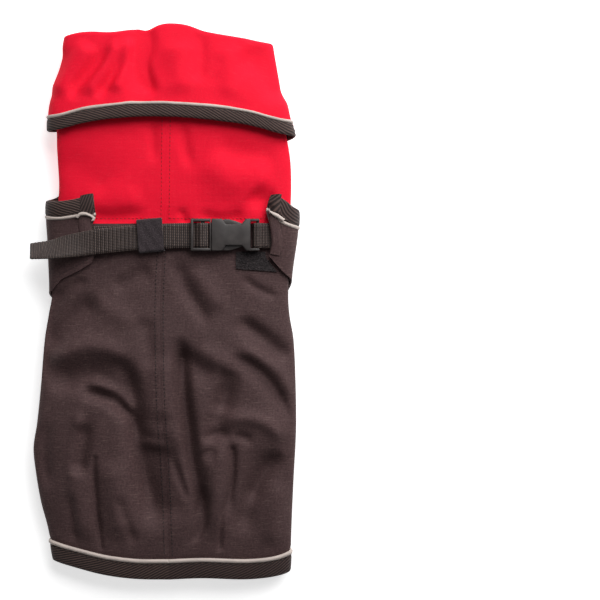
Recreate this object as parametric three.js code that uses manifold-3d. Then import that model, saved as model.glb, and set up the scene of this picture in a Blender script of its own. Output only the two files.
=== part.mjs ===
// Dog winter coat, laid flat with its back up: red shoulders and collar, charcoal body, a chest panel whose
// wings wrap round the body, and a webbing belt with a side-release buckle.
// Millimetres. +Y points to the collar, +Z up. The origin is on the surface it lies on, under its middle.

import * as THREE from 'three';
import { mergeVertices } from 'three/addons/utils/BufferGeometryUtils.js';
import Module from 'manifold-3d';

const wasm = await Module();
wasm.setup();

const { smoothstep, clamp, lerp, degToRad } = THREE.MathUtils;

// Cloth and seams
const CLOTH = 1.5;
const SEAM = 0.3;
const FLEECE = 2.0;
const PIPING = 2.1;
const BINDING = 12.4;
const HEM_BINDING = 13.4;
const COLLAR_BINDING = 9.6;
const TRIM_RISE = 0.9;
const WING_REST = 1.2;

// Belt
const WEBBING_WIDTH = 20;
const WEBBING = 1.4;
const STRAP_Y = 53;

// Buckle
const BUCKLE_LEFT = 21;
const BUCKLE_RIGHT = 75.6;
const BUCKLE_WIDTH = 25.4;
const BUCKLE_HEIGHT = 8;
const HOUSING_LEFT = 37.4;
const HOUSING_RIGHT = 68.4;
const RAIL = 2.2;

// Seams across the coat
const NECK_SEAM_Y = 150;
const YOKE_SEAM_Y = 62.6;
const FOLD_GAP = 2.2;

// Outer face of the coat at each station along its length: where its left side, back seam and right side
// lie, the height of its crest, and how far its underside stands above the surface.
const SECTIONS = [
  { y: 224, left: -76.0, seam: 2.2, right: 80.5, crest: 20, floor: 5.7 },
  { y: 206, left: -78.5, seam: 2.0, right: 83.0, crest: 23, floor: 5.7 },
  { y: 181, left: -82.4, seam: 2.0, right: 88.0, crest: 25, floor: 5.7 },
  { y: 151, left: -86.6, seam: 2.0, right: 93.0, crest: 27, floor: 5.7 },
  { y: 127, left: -87.0, seam: 1.8, right: 98.3, crest: 28, floor: 5.2 },
  { y: 111, left: -86.2, seam: 1.6, right: 100.5, crest: 28, floor: 4.4 },
  { y: 93, left: -85.4, seam: 1.5, right: 101.0, crest: 28, floor: 3.2 },
  { y: 78, left: -86.6, seam: 1.3, right: 100.6, crest: 27.5, floor: 3.0 },
  { y: 60, left: -90.2, seam: 0.6, right: 100.2, crest: 26.5, floor: 3.0 },
  { y: 40, left: -91.8, seam: -1.2, right: 99.8, crest: 26.5, floor: 3.0 },
  { y: 6, left: -91.2, seam: -3.0, right: 98.6, crest: 27, floor: 3.0 },
  { y: -10, left: -93.8, seam: -3.2, right: 99.6, crest: 28, floor: 1.9 },
  { y: -30, left: -96.9, seam: -3.0, right: 102.9, crest: 30, floor: 0.9 },
  { y: -67, left: -99.9, seam: -2.0, right: 104.6, crest: 31, floor: 0.9 },
  { y: -97, left: -103.0, seam: -1.0, right: 105.0, crest: 31, floor: 0.9 },
  { y: -116, left: -105.9, seam: 0.0, right: 104.4, crest: 30, floor: 0.9 },
  { y: -133, left: -104.6, seam: 0.6, right: 103.4, crest: 28.5, floor: 0.9 },
  { y: -159, left: -100.5, seam: 1.6, right: 102.1, crest: 26, floor: 0.9 },
  { y: -181, left: -95.0, seam: 2.4, right: 101.2, crest: 23, floor: 0.9 },
  { y: -204, left: -91.0, seam: 3.0, right: 100.4, crest: 20, floor: 0.9 },
  { y: -226, left: -88.0, seam: 3.4, right: 99.0, crest: 17, floor: 0.9 },
];
const CROWN_POWER = 2.5;
const SIDE_HEIGHT = 0.48;
const SIDE_ROUND = 17;
const CURVE_STEPS = 30;

// Largest folds of the back: the line of each trough, its half width and its depth.
const FOLDS = [
  { width: 6.5, depth: 4.2, line: [[13, -26], [14, -67], [17, -97], [22, -128], [28, -158], [24, -184]] },
  { width: 7, depth: 3.4, line: [[-55, -42], [-32, -54], [-24, -82], [-23, -105], [-17, -143], [-10, -181]] },
  { width: 17, depth: 2.2, line: [[2, -104], [4, -140], [6, -178]] },
  { width: 6, depth: 3.0, line: [[-70, -68], [-52, -73], [-38, -79], [-25, -96]] },
  { width: 8, depth: 2.6, line: [[-50, 4], [-72, -12], [-95, -42]] },
  { width: 6, depth: 2.6, line: [[-63, -94], [-68, -112], [-71, -140]] },
  { width: 6, depth: 3.2, line: [[52, -40], [66, -50], [80, -64], [92, -82], [98, -98]] },
  { width: 7, depth: 2.0, line: [[55, -10], [74, -28], [96, -50]] },
  { width: 8, depth: 2.6, line: [[56, -58], [49, -76], [40, -104], [43, -124]] },
  { width: 7, depth: 2.2, line: [[95, -118], [82, -136], [64, -162]] },
  { width: 3.5, depth: 1.8, line: [[-55.5, -123], [-56.3, -140], [-54.8, -162], [-51, -196]] },
  { width: 3.5, depth: 1.8, line: [[52.4, -106], [54.4, -118], [53.6, -142], [50.8, -176]] },
];

// Largest folds of the turned-down collar.
const COLLAR_FOLDS = [
  { width: 7, depth: 2.2, line: [[-16, 224], [-15, 206], [-19, 184], [-8, 160]] },
  { width: 6, depth: 1.4, line: [[-36, 210], [-54, 186], [-72, 160]] },
  { width: 5, depth: 1.0, line: [[-34, 180], [-44, 168], [-54, 158]] },
  { width: 9, depth: 1.6, line: [[62, 200], [80, 184], [92, 158]] },
];

// Straight or gently curved edges, each point on the upper or the under side of the coat.
const HEM_RIGHT = [
  { face: 'top', x: 3.4, y: -222.4 }, { face: 'top', x: 30, y: -221.4 }, { face: 'top', x: 68, y: -222.4 },
  { face: 'top', x: 92, y: -219.6 }, { face: 'under', x: 92, y: -213 }, { face: 'under', x: 72, y: -212.5 },
  { face: 'under', x: 50, y: -209 }, { face: 'under', x: 26, y: -196 }, { face: 'under', x: 11, y: -177 },
  { face: 'under', x: 0.5, y: -157 }, { face: 'under', x: -3.5, y: -134 },
  { face: 'under', x: -2.8, y: -103 }, { face: 'under', x: 0.5, y: -68 },
  { face: 'under', x: 4, y: -24 }, { face: 'under', x: 6, y: 62.4 },
];
const HEM_LEFT = [
  { face: 'top', x: 3.2, y: -222.4 }, { face: 'top', x: -24, y: -222 }, { face: 'top', x: -50, y: -218.6 },
  { face: 'top', x: -80, y: -211 }, { face: 'under', x: -86, y: -205.5 }, { face: 'under', x: -68, y: -206 },
  { face: 'under', x: -49, y: -197.5 }, { face: 'under', x: -31, y: -181.4 },
  { face: 'under', x: -14, y: -157 }, { face: 'under', x: -2.5, y: -132 },
  { face: 'under', x: 6, y: -103 }, { face: 'under', x: 7, y: -57 },
  { face: 'under', x: 3.4, y: 0 }, { face: 'under', x: 2, y: 62.4 },
];
const ARMHOLE_RIGHT = [
  { face: 'top', x: 83.6, y: 86.2 }, { face: 'top', x: 89, y: 84.8 }, { face: 'top', x: 95, y: 80.8 },
  { face: 'top', x: 99.8, y: 75.4 }, { face: 'under', x: 98.4, y: 72.6 }, { face: 'under', x: 93, y: 78 },
  { face: 'under', x: 82, y: 91.4 }, { face: 'under', x: 69.9, y: 109.2 },
  { face: 'under', x: 59.2, y: 129.1 }, { face: 'under', x: 50.1, y: 146.5 },
  { face: 'under', x: 47.2, y: 162 }, { face: 'under', x: 46.2, y: 180 }, { face: 'under', x: 47, y: 209 },
];
const ARMHOLE_LEFT = [
  { face: 'top', x: -56, y: 85 }, { face: 'top', x: -70, y: 82.2 }, { face: 'top', x: -81, y: 80.4 },
  { face: 'under', x: -86, y: 81.2 }, { face: 'under', x: -82, y: 88 }, { face: 'under', x: -76.5, y: 100 },
  { face: 'under', x: -71.5, y: 117 }, { face: 'under', x: -67, y: 138.3 },
  { face: 'under', x: -62, y: 159.7 }, { face: 'under', x: -56, y: 180 }, { face: 'under', x: -48, y: 209 },
];
const WING_RIGHT_END = [
  { face: 'top', x: 99, y: 17.2 }, { face: 'top', x: 93, y: 24.8 }, { face: 'top', x: 82.4, y: 36.8 },
  { face: 'top', x: 85, y: 43 }, { face: 'top', x: 83, y: 62 },
];
const WING_LEFT_END = [
  { face: 'top', x: -57.2, y: 59.4 }, { face: 'top', x: -54.8, y: 37 },
  { face: 'top', x: -57.8, y: 31 }, { face: 'top', x: -67, y: 25.5 }, { face: 'top', x: -81.6, y: 18.6 },
  { face: 'top', x: -88.6, y: 11 },
];
const BELLY_EDGE = [
  { face: 'under', x: -88, y: 0.5 }, { face: 'under', x: -40, y: 5 }, { face: 'under', x: 40, y: 5 },
  { face: 'under', x: 92, y: 2 },
];
const CHEST_TOP = [
  { face: 'under', x: 24, y: 212 }, { face: 'under', x: 0, y: 213.4 }, { face: 'under', x: -24, y: 212.4 },
];
const COLLAR_EDGE = [
  { face: 'under', x: -44, y: 189 }, { face: 'under', x: -54, y: 175 }, { face: 'under', x: -64, y: 160 },
  { face: 'under', x: -74, y: 146 }, { face: 'under', x: -82, y: 138.4 }, { face: 'top', x: -83, y: 137 },
  { face: 'top', x: -60, y: 142.8 }, { face: 'top', x: -30, y: 146.2 }, { face: 'top', x: 2, y: 146.8 },
  { face: 'top', x: 34, y: 144.6 }, { face: 'top', x: 68, y: 139.8 }, { face: 'top', x: 88, y: 134.4 },
  { face: 'under', x: 93, y: 129 }, { face: 'under', x: 84, y: 131.6 }, { face: 'under', x: 70, y: 145 },
  { face: 'under', x: 56, y: 162 }, { face: 'under', x: 42, y: 181 },
];
// Crest of the collar's turn, by distance across the upper side.
const COLLAR_TURN = [
  { x: -90, y: 209 }, { x: -76, y: 214.4 }, { x: -64, y: 216.2 }, { x: -42, y: 215.6 }, { x: -22, y: 218 },
  { x: -15, y: 217.2 }, { x: -4, y: 221.4 }, { x: 6, y: 222.5 }, { x: 18, y: 221 }, { x: 33, y: 215.8 },
  { x: 58, y: 211.4 }, { x: 84, y: 207 }, { x: 96, y: 206 },
];
const UNDER_TURN_Y = 206.5;
const YOKE_ARMHOLE = [
  { x: 84, y: 62.9 }, { x: 72, y: 84 }, { x: 54, y: 112 }, { x: 41, y: 136 }, { x: 36, y: 150 },
];

const COLOURS = {
  red: 0xd8102f,
  charcoal: 0x453c3e,
  twill: 0x332b2b,
  piping: 0xd6cbc4,
  fleece: 0x989498,
  webbing: 0x3c3532,
  hook: 0x383a3e,
  loop: 0x2c2829,
  plastic: 0x595452,
  rubber: 0x5a5450,
};

function finish(colour, roughness = 0.9) {
  return new THREE.MeshStandardMaterial({ color: COLOURS[colour], roughness, metalness: 0 });
}

// Smooth value of a column of a table at y, through its rows.
function along(table, y, column) {
  const rows = table[0].y > table[table.length - 1].y ? [...table].reverse() : table;
  const last = rows.length - 1;
  let i = 0;
  while (i < last - 1 && rows[i + 1].y < y) i += 1;
  const slope = (k) => {
    const before = rows[Math.max(k - 1, 0)];
    const after = rows[Math.min(k + 1, last)];
    return (after[column] - before[column]) / (after.y - before.y);
  };
  const span = rows[i + 1].y - rows[i].y;
  const t = clamp((y - rows[i].y) / span, 0, 1);
  const a = rows[i][column];
  const b = rows[i + 1][column];
  const t2 = t * t;
  const t3 = t2 * t;
  return a * (2 * t3 - 3 * t2 + 1) + slope(i) * span * (t3 - 2 * t2 + t)
    + b * (3 * t2 - 2 * t3) + slope(i + 1) * span * (t3 - t2);
}

const swell = (distance, width) => Math.exp(-((distance / width) ** 2));
const ramp = (value, from, to) => (from < to ? smoothstep(value, from, to) : 1 - smoothstep(value, to, from));

// Depth of the folds at a place: each is a soft trough that fades out at both of its ends.
function foldDepth(folds, x, y) {
  let depth = 0;
  for (const fold of folds) {
    let nearest = Infinity;
    let where = 0;
    const pieces = fold.line.length - 1;
    for (let i = 0; i < pieces; i += 1) {
      const [ax, ay] = fold.line[i];
      const [bx, by] = fold.line[i + 1];
      const length2 = (bx - ax) ** 2 + (by - ay) ** 2;
      const t = clamp(((x - ax) * (bx - ax) + (y - ay) * (by - ay)) / length2, 0, 1);
      const distance = Math.hypot(x - ax - t * (bx - ax), y - ay - t * (by - ay));
      if (distance < nearest) {
        nearest = distance;
        where = (i + t) / pieces;
      }
    }
    const fade = Math.min(1, 4 * where, 4 * (1 - where));
    depth += fold.depth * (0.25 + 0.75 * fade) * swell(nearest, fold.width);
  }
  return depth;
}

// Cross section of one side of the coat at y, from the back seam over the side to the belly's middle.
function halfSection(side, y) {
  const seam = along(SECTIONS, y, 'seam');
  const edge = along(SECTIONS, y, side > 0 ? 'right' : 'left');
  const crest = along(SECTIONS, y, 'crest');
  const floor = along(SECTIONS, y, 'floor');
  const half = Math.abs(edge - seam);
  const waist = floor + SIDE_HEIGHT * (crest - floor);
  const points = [];
  for (let i = 0; i <= CURVE_STEPS; i += 1) {
    const angle = (i / CURVE_STEPS) * Math.PI / 2;
    const out = Math.sin(angle) ** (2 / CROWN_POWER);
    const up = Math.cos(angle) ** (2 / CROWN_POWER);
    points.push({ x: seam + side * half * out, z: waist + (crest - waist) * up, upper: up });
  }
  for (let i = 1; i <= CURVE_STEPS / 2; i += 1) {
    const angle = (i / (CURVE_STEPS / 2)) * Math.PI / 2;
    const out = half - SIDE_ROUND * (1 - Math.cos(angle));
    points.push({ x: seam + side * out, z: waist - (waist - floor) * Math.sin(angle), upper: 0 });
  }
  points.push({ x: seam, z: floor, upper: 0 });
  let girth = 0;
  points.forEach((point, i) => {
    if (i > 0) girth += Math.hypot(point.x - points[i - 1].x, point.z - points[i - 1].z);
    point.girth = girth;
  });
  return { points, girth, seam, side };
}

// Point of the coat's outer face: share is 0 at the back seam, 1 at the belly's middle, and past it beyond.
function onHalf(side, share, y) {
  const { points, girth } = halfSection(side, y);
  const reach = share * girth;
  let i = 0;
  while (i < points.length - 2 && points[i + 1].girth < reach) i += 1;
  const from = points[i];
  const to = points[i + 1];
  const t = (reach - from.girth) / (to.girth - from.girth);
  const x = from.x + t * (to.x - from.x);
  const upper = from.upper + Math.min(t, 1) * (to.upper - from.upper);
  const folds = foldDepth(FOLDS, x, y) * ramp(upper, 0.05, 0.5);
  return new THREE.Vector3(x, y, from.z + Math.min(t, 1) * (to.z - from.z) - folds);
}

// Two ways to unroll the coat: across the back from its seam, and across the belly from its middle.
// On each, +u is towards +X, and u counts half girths.
const back = {
  point: (u, y) => onHalf(u < 0 ? -1 : 1, Math.abs(u), y),
  share: (u) => Math.abs(u),
  outward: 1,
};
const belly = {
  point: (u, y) => onHalf(u < 0 ? -1 : 1, 1 - Math.abs(u), y),
  share: (u) => 1 - Math.abs(u),
  outward: -1,
};

// Width that a half girth takes on an unrolled pattern, and the steps that a normal is measured over.
const PATTERN_GIRTH = 200;
const PROBE_U = 0.004;
const PROBE_Y = 0.8;

// Point that stands off the coat's outer face by a lift along its normal.
function lifted(sheet, u, y, lift) {
  const du = sheet.point(u + PROBE_U, y).sub(sheet.point(u - PROBE_U, y));
  const dy = sheet.point(u, y + PROBE_Y).sub(sheet.point(u, y - PROBE_Y));
  const normal = du.cross(dy).normalize().multiplyScalar(sheet.outward);
  const point = sheet.point(u, y).addScaledVector(normal, lift);
  return point.setZ(Math.max(point.z, 0));
}

// Place on an unrolled sheet of a point given by x and y on the upper or under side.
function unroll(sheet, side, { face, x, y }) {
  const { points, girth, seam } = halfSection(side, y);
  const widest = CURVE_STEPS;
  const first = face === 'top' ? 0 : widest;
  const last = face === 'top' ? widest : points.length - 1;
  const reach = side * (x - seam);
  let share = face === 'top' ? points[widest].girth / girth : 1 - reach / girth;
  for (let i = first; i < last; i += 1) {
    const a = side * (points[i].x - seam);
    const b = side * (points[i + 1].x - seam);
    if ((a - reach) * (b - reach) <= 0 && a !== b) {
      const t = (reach - a) / (b - a);
      share = (points[i].girth + t * (points[i + 1].girth - points[i].girth)) / girth;
      break;
    }
  }
  return new THREE.Vector2(side * (sheet === back ? share : 1 - share), y);
}

const girthAt = (side, y) => halfSection(side, y).girth;

// Smooth line through an edge's points on an unrolled sheet, in equal steps.
function edgeLine(sheet, side, points, count) {
  const flat = points.map((point) => {
    const turned = side === 0 ? Math.sign(point.x - 2) || 1 : side;
    const place = unroll(sheet, turned, point);
    return new THREE.Vector3(place.x * PATTERN_GIRTH, place.y, 0);
  });
  const curve = new THREE.CatmullRomCurve3(flat, false, 'centripetal');
  return curve.getSpacedPoints(count - 1).map((point) => new THREE.Vector2(point.x / PATTERN_GIRTH, point.y));
}

// Line beside another on the cloth, at a distance to its left.
function beside(line, distance) {
  return line.map((point, i) => {
    const before = line[Math.max(i - 1, 0)];
    const after = line[Math.min(i + 1, line.length - 1)];
    const girth = girthAt(point.x < 0 ? -1 : 1, point.y);
    const tangent = new THREE.Vector2((after.x - before.x) * girth, after.y - before.y).normalize();
    return new THREE.Vector2(point.x - tangent.y * distance / girth, point.y + tangent.x * distance);
  });
}

// Part of a flat pattern inside one cell of its grid.
function clipToCell(outline, low, high) {
  let shape = outline;
  const sides = [(p) => p.x - low.x, (p) => high.x - p.x, (p) => p.y - low.y, (p) => high.y - p.y];
  for (const inside of sides) {
    const kept = [];
    shape.forEach((point, i) => {
      const next = shape[(i + 1) % shape.length];
      const here = inside(point);
      const there = inside(next);
      if (here >= 0) kept.push(point);
      if (here * there < 0) kept.push(point.clone().lerp(next, here / (here - there)));
    });
    shape = kept;
    if (shape.length < 3) return [];
  }
  return shape;
}

const MERGE = 2e-3;
const corner = (spot) => spot.x * PATTERN_GIRTH + spot.y;

// Flat cloth cut to an outline and marked into cells by grid lines.
function cutCloth(outline, us, ys) {
  const spots = [];
  const found = new Map();
  const triangles = [];
  const flat = outline.map((p) => new THREE.Vector2(p.x * PATTERN_GIRTH, p.y));
  const spot = (p) => {
    const key = `${Math.round(p.x / MERGE)},${Math.round(p.y / MERGE)}`;
    if (!found.has(key)) {
      found.set(key, spots.length);
      spots.push(new THREE.Vector2(p.x / PATTERN_GIRTH, p.y));
    }
    return found.get(key);
  };
  for (let i = 0; i < us.length - 1; i += 1) {
    for (let j = 0; j < ys.length - 1; j += 1) {
      const low = new THREE.Vector2(us[i] * PATTERN_GIRTH, ys[j]);
      const high = new THREE.Vector2(us[i + 1] * PATTERN_GIRTH, ys[j + 1]);
      const cell = clipToCell(flat, low, high);
      const ids = [];
      for (const id of cell.map(spot)) {
        if (id !== ids[ids.length - 1]) ids.push(id);
      }
      if (ids[0] === ids[ids.length - 1]) ids.pop();
      if (ids.length < 3) continue;
      const lower = (id, other) => corner(spots[id]) < corner(spots[other]);
      const lowest = ids.reduce((best, id, k) => (lower(id, ids[best]) ? k : best), 0);
      const turned = [...ids.slice(lowest), ...ids.slice(0, lowest)];
      const ring = turned.map((id) => new THREE.Vector2(spots[id].x * PATTERN_GIRTH, spots[id].y));
      const cuts = ids.length === 4 ? [[0, 1, 2], [0, 2, 3]] : THREE.ShapeUtils.triangulateShape(ring, []);
      for (const [a, b, c] of cuts) triangles.push([turned[a], turned[b], turned[c]]);
    }
  }
  return { spots, triangles };
}

// Flat cloth between lines that run side by side.
function stripCloth(lines) {
  const count = lines[0].length;
  const spots = lines.flat();
  const triangles = [];
  for (let j = 0; j < lines.length - 1; j += 1) {
    for (let i = 0; i < count - 1; i += 1) {
      const a = j * count + i;
      const b = a + count;
      triangles.push([a, a + 1, b + 1], [a, b + 1, b]);
    }
  }
  return { spots, triangles };
}

function solidFrom(points, faces) {
  let volume = 0;
  for (const [a, b, c] of faces) {
    volume += points[a].dot(new THREE.Vector3().crossVectors(points[b], points[c]));
  }
  const turned = volume < 0 ? faces.map(([a, b, c]) => [a, c, b]) : faces;
  const geometry = new THREE.BufferGeometry();
  geometry.setAttribute('position', new THREE.Float32BufferAttribute(points.flatMap((p) => p.toArray()), 3));
  geometry.setIndex(turned.flat());
  return geometry;
}

// Wall of cloth: its two faces follow the coat at two lifts, and a rim closes them all round.
function wall(sheet, cloth, low, high) {
  const level = (lift, { x, y }) => (typeof lift === 'function' ? lift(x, y) : lift);
  const { spots, triangles } = cloth;
  const outer = spots.map((p) => lifted(sheet, p.x, p.y, level(high, p)));
  const inner = spots.map((p) => lifted(sheet, p.x, p.y, level(low, p)));
  const count = spots.length;
  const directed = new Set();
  for (const [a, b, c] of triangles) {
    directed.add(`${a},${b}`).add(`${b},${c}`).add(`${c},${a}`);
  }
  const faces = [];
  for (const [a, b, c] of triangles) {
    faces.push([a, b, c], [a + count, c + count, b + count]);
    for (const [p, q] of [[a, b], [b, c], [c, a]]) {
      if (!directed.has(`${q},${p}`)) faces.push([p, p + count, q + count], [p, q + count, q]);
    }
  }
  return solidFrom([...outer, ...inner], faces);
}

// Closed solid through a row of rings. The first half of each ring runs along one face, the rest comes
// back along the other.
function loft(rings) {
  const count = rings[0].length;
  const faces = [];
  for (let i = 0; i < rings.length - 1; i += 1) {
    for (let j = 0; j < count; j += 1) {
      const a = i * count + j;
      const b = i * count + (j + 1) % count;
      faces.push([a, b, b + count], [a, b + count, a + count]);
    }
  }
  const last = (rings.length - 1) * count;
  for (let i = 0; i < count / 2 - 1; i += 1) {
    const [a, b, c, d] = [i, i + 1, count - 2 - i, count - 1 - i];
    faces.push([c, b, a], [d, c, a], [last + a, last + b, last + c], [last + a, last + c, last + d]);
  }
  return solidFrom(rings.flat(), faces);
}

// Grid lines in steps, from one value to another.
function marks(from, to, step) {
  const count = Math.ceil((to - from) / step);
  return Array.from({ length: count + 1 }, (_, i) => from + (to - from) * i / count);
}

const coat = new THREE.Group();

function add(name, geometry, colour, roughness) {
  const mesh = new THREE.Mesh(geometry, finish(colour, roughness));
  mesh.name = name;
  coat.add(mesh);
  return mesh;
}

// Flaps: the right one lies under the left one, so it rises near its free edge.
const FLAP_RISE = 2.8;
const rightFlapLift = (u) => -FLAP_RISE * ramp(u, 0.78, 0.93);
const flapLift = (side, u) => (side > 0 ? rightFlapLift(u) : 0);

// Body, its lining and its trims
const HALF_SEAM_U = SEAM / 2 / PATTERN_GIRTH;
const BODY_MARKS_Y = marks(-226, YOKE_SEAM_Y + 3, 10.2);
const BODY_MARKS_U = [...marks(0, 0.42, 0.052), ...marks(0.46, 0.66, 0.034), ...marks(0.76, 1.2, 0.11)];
const LINING_REACH = 0.66;
const LINING_TOP_Y = BODY_MARKS_Y[12];

for (const [name, side, points] of [['left', -1, HEM_LEFT], ['right', 1, HEM_RIGHT]]) {
  const edge = edgeLine(back, side, points, 40);
  edge[0].x = side * HALF_SEAM_U;
  edge[edge.length - 1].y = YOKE_SEAM_Y - SEAM / 2;
  const inset = (distance) => {
    const line = beside(edge, side * distance);
    line[0].x = side * HALF_SEAM_U;
    line[line.length - 1].y = YOKE_SEAM_Y - SEAM / 2;
    return line;
  };
  const trimEdge = HEM_BINDING + SEAM;
  const clothEdge = trimEdge + PIPING + SEAM;
  const bottom = inset(clothEdge);
  const outline = [...bottom, new THREE.Vector2(side * HALF_SEAM_U, YOKE_SEAM_Y - SEAM / 2)];
  if (side < 0) outline.reverse();
  const us = side > 0 ? BODY_MARKS_U : BODY_MARKS_U.map((u) => -u).reverse();
  const lift = (rise) => (u) => flapLift(side, u) + rise;
  add(`back_${name}`, wall(back, cutCloth(outline, us, BODY_MARKS_Y), lift(-CLOTH), lift(0)), 'charcoal');
  const binding = stripCloth([edge, inset(HEM_BINDING / 2), inset(HEM_BINDING)]);
  add(`hem_binding_${name}`, wall(back, binding, lift(-CLOTH), lift(TRIM_RISE)), 'twill');
  const cord = stripCloth([inset(trimEdge), inset(trimEdge + PIPING)]);
  add(`hem_piping_${name}`, wall(back, cord, lift(-CLOTH), lift(TRIM_RISE)), 'piping', 0.5);

  const liningBottom = bottom.filter((p) => Math.abs(p.x) < LINING_REACH && p.y < LINING_TOP_Y);
  const liningOutline = [
    ...liningBottom,
    new THREE.Vector2(side * LINING_REACH, liningBottom[liningBottom.length - 1].y),
    new THREE.Vector2(side * LINING_REACH, LINING_TOP_Y), new THREE.Vector2(side * HALF_SEAM_U, LINING_TOP_Y),
  ];
  if (side < 0) liningOutline.reverse();
  const fleece = cutCloth(liningOutline, us, BODY_MARKS_Y);
  add(`lining_${name}`, wall(back, fleece, -CLOTH - SEAM - FLEECE, -CLOTH - SEAM), 'fleece', 1);
}

// Yoke over the shoulders
const YOKE_MARKS_U = [...marks(0, 0.42, 0.07), ...marks(0.455, 0.66, 0.035), ...marks(0.76, 1, 0.12)];
for (const [name, side] of [['left', -1], ['right', 1]]) {
  const armhole = YOKE_ARMHOLE.map(({ x, y }) => unroll(back, side, { face: 'under', x: side * x, y }));
  armhole[armhole.length - 1].y = NECK_SEAM_Y - SEAM / 2;
  armhole[0].y = YOKE_SEAM_Y + SEAM / 2;
  const outline = [
    new THREE.Vector2(side * HALF_SEAM_U, YOKE_SEAM_Y + SEAM / 2), ...armhole,
    new THREE.Vector2(side * HALF_SEAM_U, NECK_SEAM_Y - SEAM / 2),
  ];
  if (side < 0) outline.reverse();
  const us = side > 0 ? YOKE_MARKS_U : YOKE_MARKS_U.map((u) => -u).reverse();
  const cloth = cutCloth(outline, us, marks(YOKE_SEAM_Y, NECK_SEAM_Y, 11));
  add(`yoke_${name}`, wall(back, cloth, -CLOTH, 0), 'red');
}

// Collar: up from the neck seam, over its turn and down outside, standing off the yoke on the back.
const COLLAR_STATIONS = 34;
const LEG_STEPS = 3;
const TURN_STEPS = 5;
const FALL_STEPS = 6;
const COLLAR_STAND = 2.6;

function collarGap(u, y) {
  const { z } = back.point(u, y);
  const upper = u > 0 ? ramp(z, 9, 19) : ramp(z, 8, 16);
  const stand = FOLD_GAP + COLLAR_STAND * ramp(y, 200, 150);
  const folds = foldDepth(COLLAR_FOLDS, back.point(u, y).x, y);
  return lerp(SEAM, Math.max(SEAM, stand - 0.7 * folds), upper);
}

function collarTurn(u, y) {
  const { x, z } = back.point(u, y);
  const rows = COLLAR_TURN.map((row) => ({ y: row.x, turn: row.y }));
  return lerp(UNDER_TURN_Y, along(rows, x, 'turn'), ramp(z, 6, 15));
}

const collarLine = edgeLine(back, 0, COLLAR_EDGE, 60);
const TRIM_EDGE = BINDING + SEAM;
const CLOTH_EDGE = TRIM_EDGE + PIPING + SEAM;
const collarTrimEdge = COLLAR_BINDING + SEAM;
const collarClothLine = beside(collarLine, collarTrimEdge + PIPING + SEAM);

function lineHeight(line, u) {
  for (let i = 0; i < line.length - 1; i += 1) {
    const [a, b] = [line[i], line[i + 1]];
    if ((a.x - u) * (b.x - u) <= 0 && a.x !== b.x) return a.y + (b.y - a.y) * (u - a.x) / (b.x - a.x);
  }
  return line[u < line[0].x ? 0 : line.length - 1].y;
}

function collarRing(u) {
  const turn = collarTurn(u, 206);
  const gap = collarGap(u, turn - 4);
  const radius = (gap + CLOTH) / 2;
  const start = NECK_SEAM_Y + SEAM / 2;
  const top = turn - radius - CLOTH / 2;
  const end = Math.min(lineHeight(collarClothLine, u), top - 2);
  const outer = [];
  const inner = [];
  const put = (y, lift, ny, nl) => {
    outer.push(lifted(back, u, y + ny * CLOTH / 2, lift + nl * CLOTH / 2));
    inner.push(lifted(back, u, y - ny * CLOTH / 2, lift - nl * CLOTH / 2));
  };
  for (let i = 0; i < LEG_STEPS; i += 1) {
    put(start + (top - start) * i / LEG_STEPS, -CLOTH / 2, 0, -1);
  }
  for (let i = 0; i <= TURN_STEPS; i += 1) {
    const angle = Math.PI * i / TURN_STEPS;
    const [out, up] = [Math.sin(angle), -Math.cos(angle)];
    put(top + radius * out, radius - CLOTH / 2 + radius * up, out, up);
  }
  for (let i = 1; i <= FALL_STEPS; i += 1) {
    const y = top + (end - top) * i / FALL_STEPS;
    put(y, collarGap(u, y) + CLOTH / 2, 0, 1);
  }
  return [...outer, ...inner.reverse()];
}

const collarEnds = [collarClothLine[0].x, collarClothLine[collarClothLine.length - 1].x];
const collarRings = marks(collarEnds[0], collarEnds[1], (collarEnds[1] - collarEnds[0]) / COLLAR_STATIONS);
add('collar', loft(collarRings.map(collarRing)), 'red');
const collarBinding = stripCloth([
  collarLine, beside(collarLine, COLLAR_BINDING / 2), beside(collarLine, COLLAR_BINDING),
]);
const collarRise = (rise) => (u, y) => collarGap(u, y) + rise;
const bindingThickness = CLOTH + TRIM_RISE;
add('collar_binding', wall(back, collarBinding, collarRise(0), collarRise(bindingThickness)), 'twill');
const collarCord = stripCloth([
  beside(collarLine, collarTrimEdge), beside(collarLine, collarTrimEdge + PIPING),
]);
add('collar_piping', wall(back, collarCord, collarRise(0), collarRise(bindingThickness)), 'piping', 0.5);

// Chest panel with its two wings. Its middle sinks to the surface, and its wings stand off the waist.
const FLARES = [
  { x: -92, y: 82, z: 14, height: 7.2, across: 26, along: 24 },
  { x: 102, y: 74, z: 14, height: 3.2, across: 26, along: 24 },
  { x: 86, y: 53, z: 22, height: 4.4, across: 20, along: 24 },
  { x: -58, y: 52, z: 25, height: 2.4, across: 20, along: 24 },
];

function wingFlare(u, y) {
  const spot = belly.point(u, y);
  let flare = 0;
  for (const { x, y: centre, z, height, across, along: reach } of FLARES) {
    const distance = Math.hypot(spot.x - x, spot.z - z);
    flare += height * swell(distance, across) * swell(y - centre, reach);
  }
  return flare * ramp(spot.z, 5, 14);
}

// On the underside the panel keeps its own height above the surface.
function panelLift(u, y, height) {
  const spot = belly.point(u, y);
  const floor = along(SECTIONS, y, 'floor');
  const under = ramp(spot.z, floor + 4, floor);
  const offFloor = floor - height;
  return lerp(WING_REST + 1.8 - height + wingFlare(u, y), offFloor, under);
}

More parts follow.
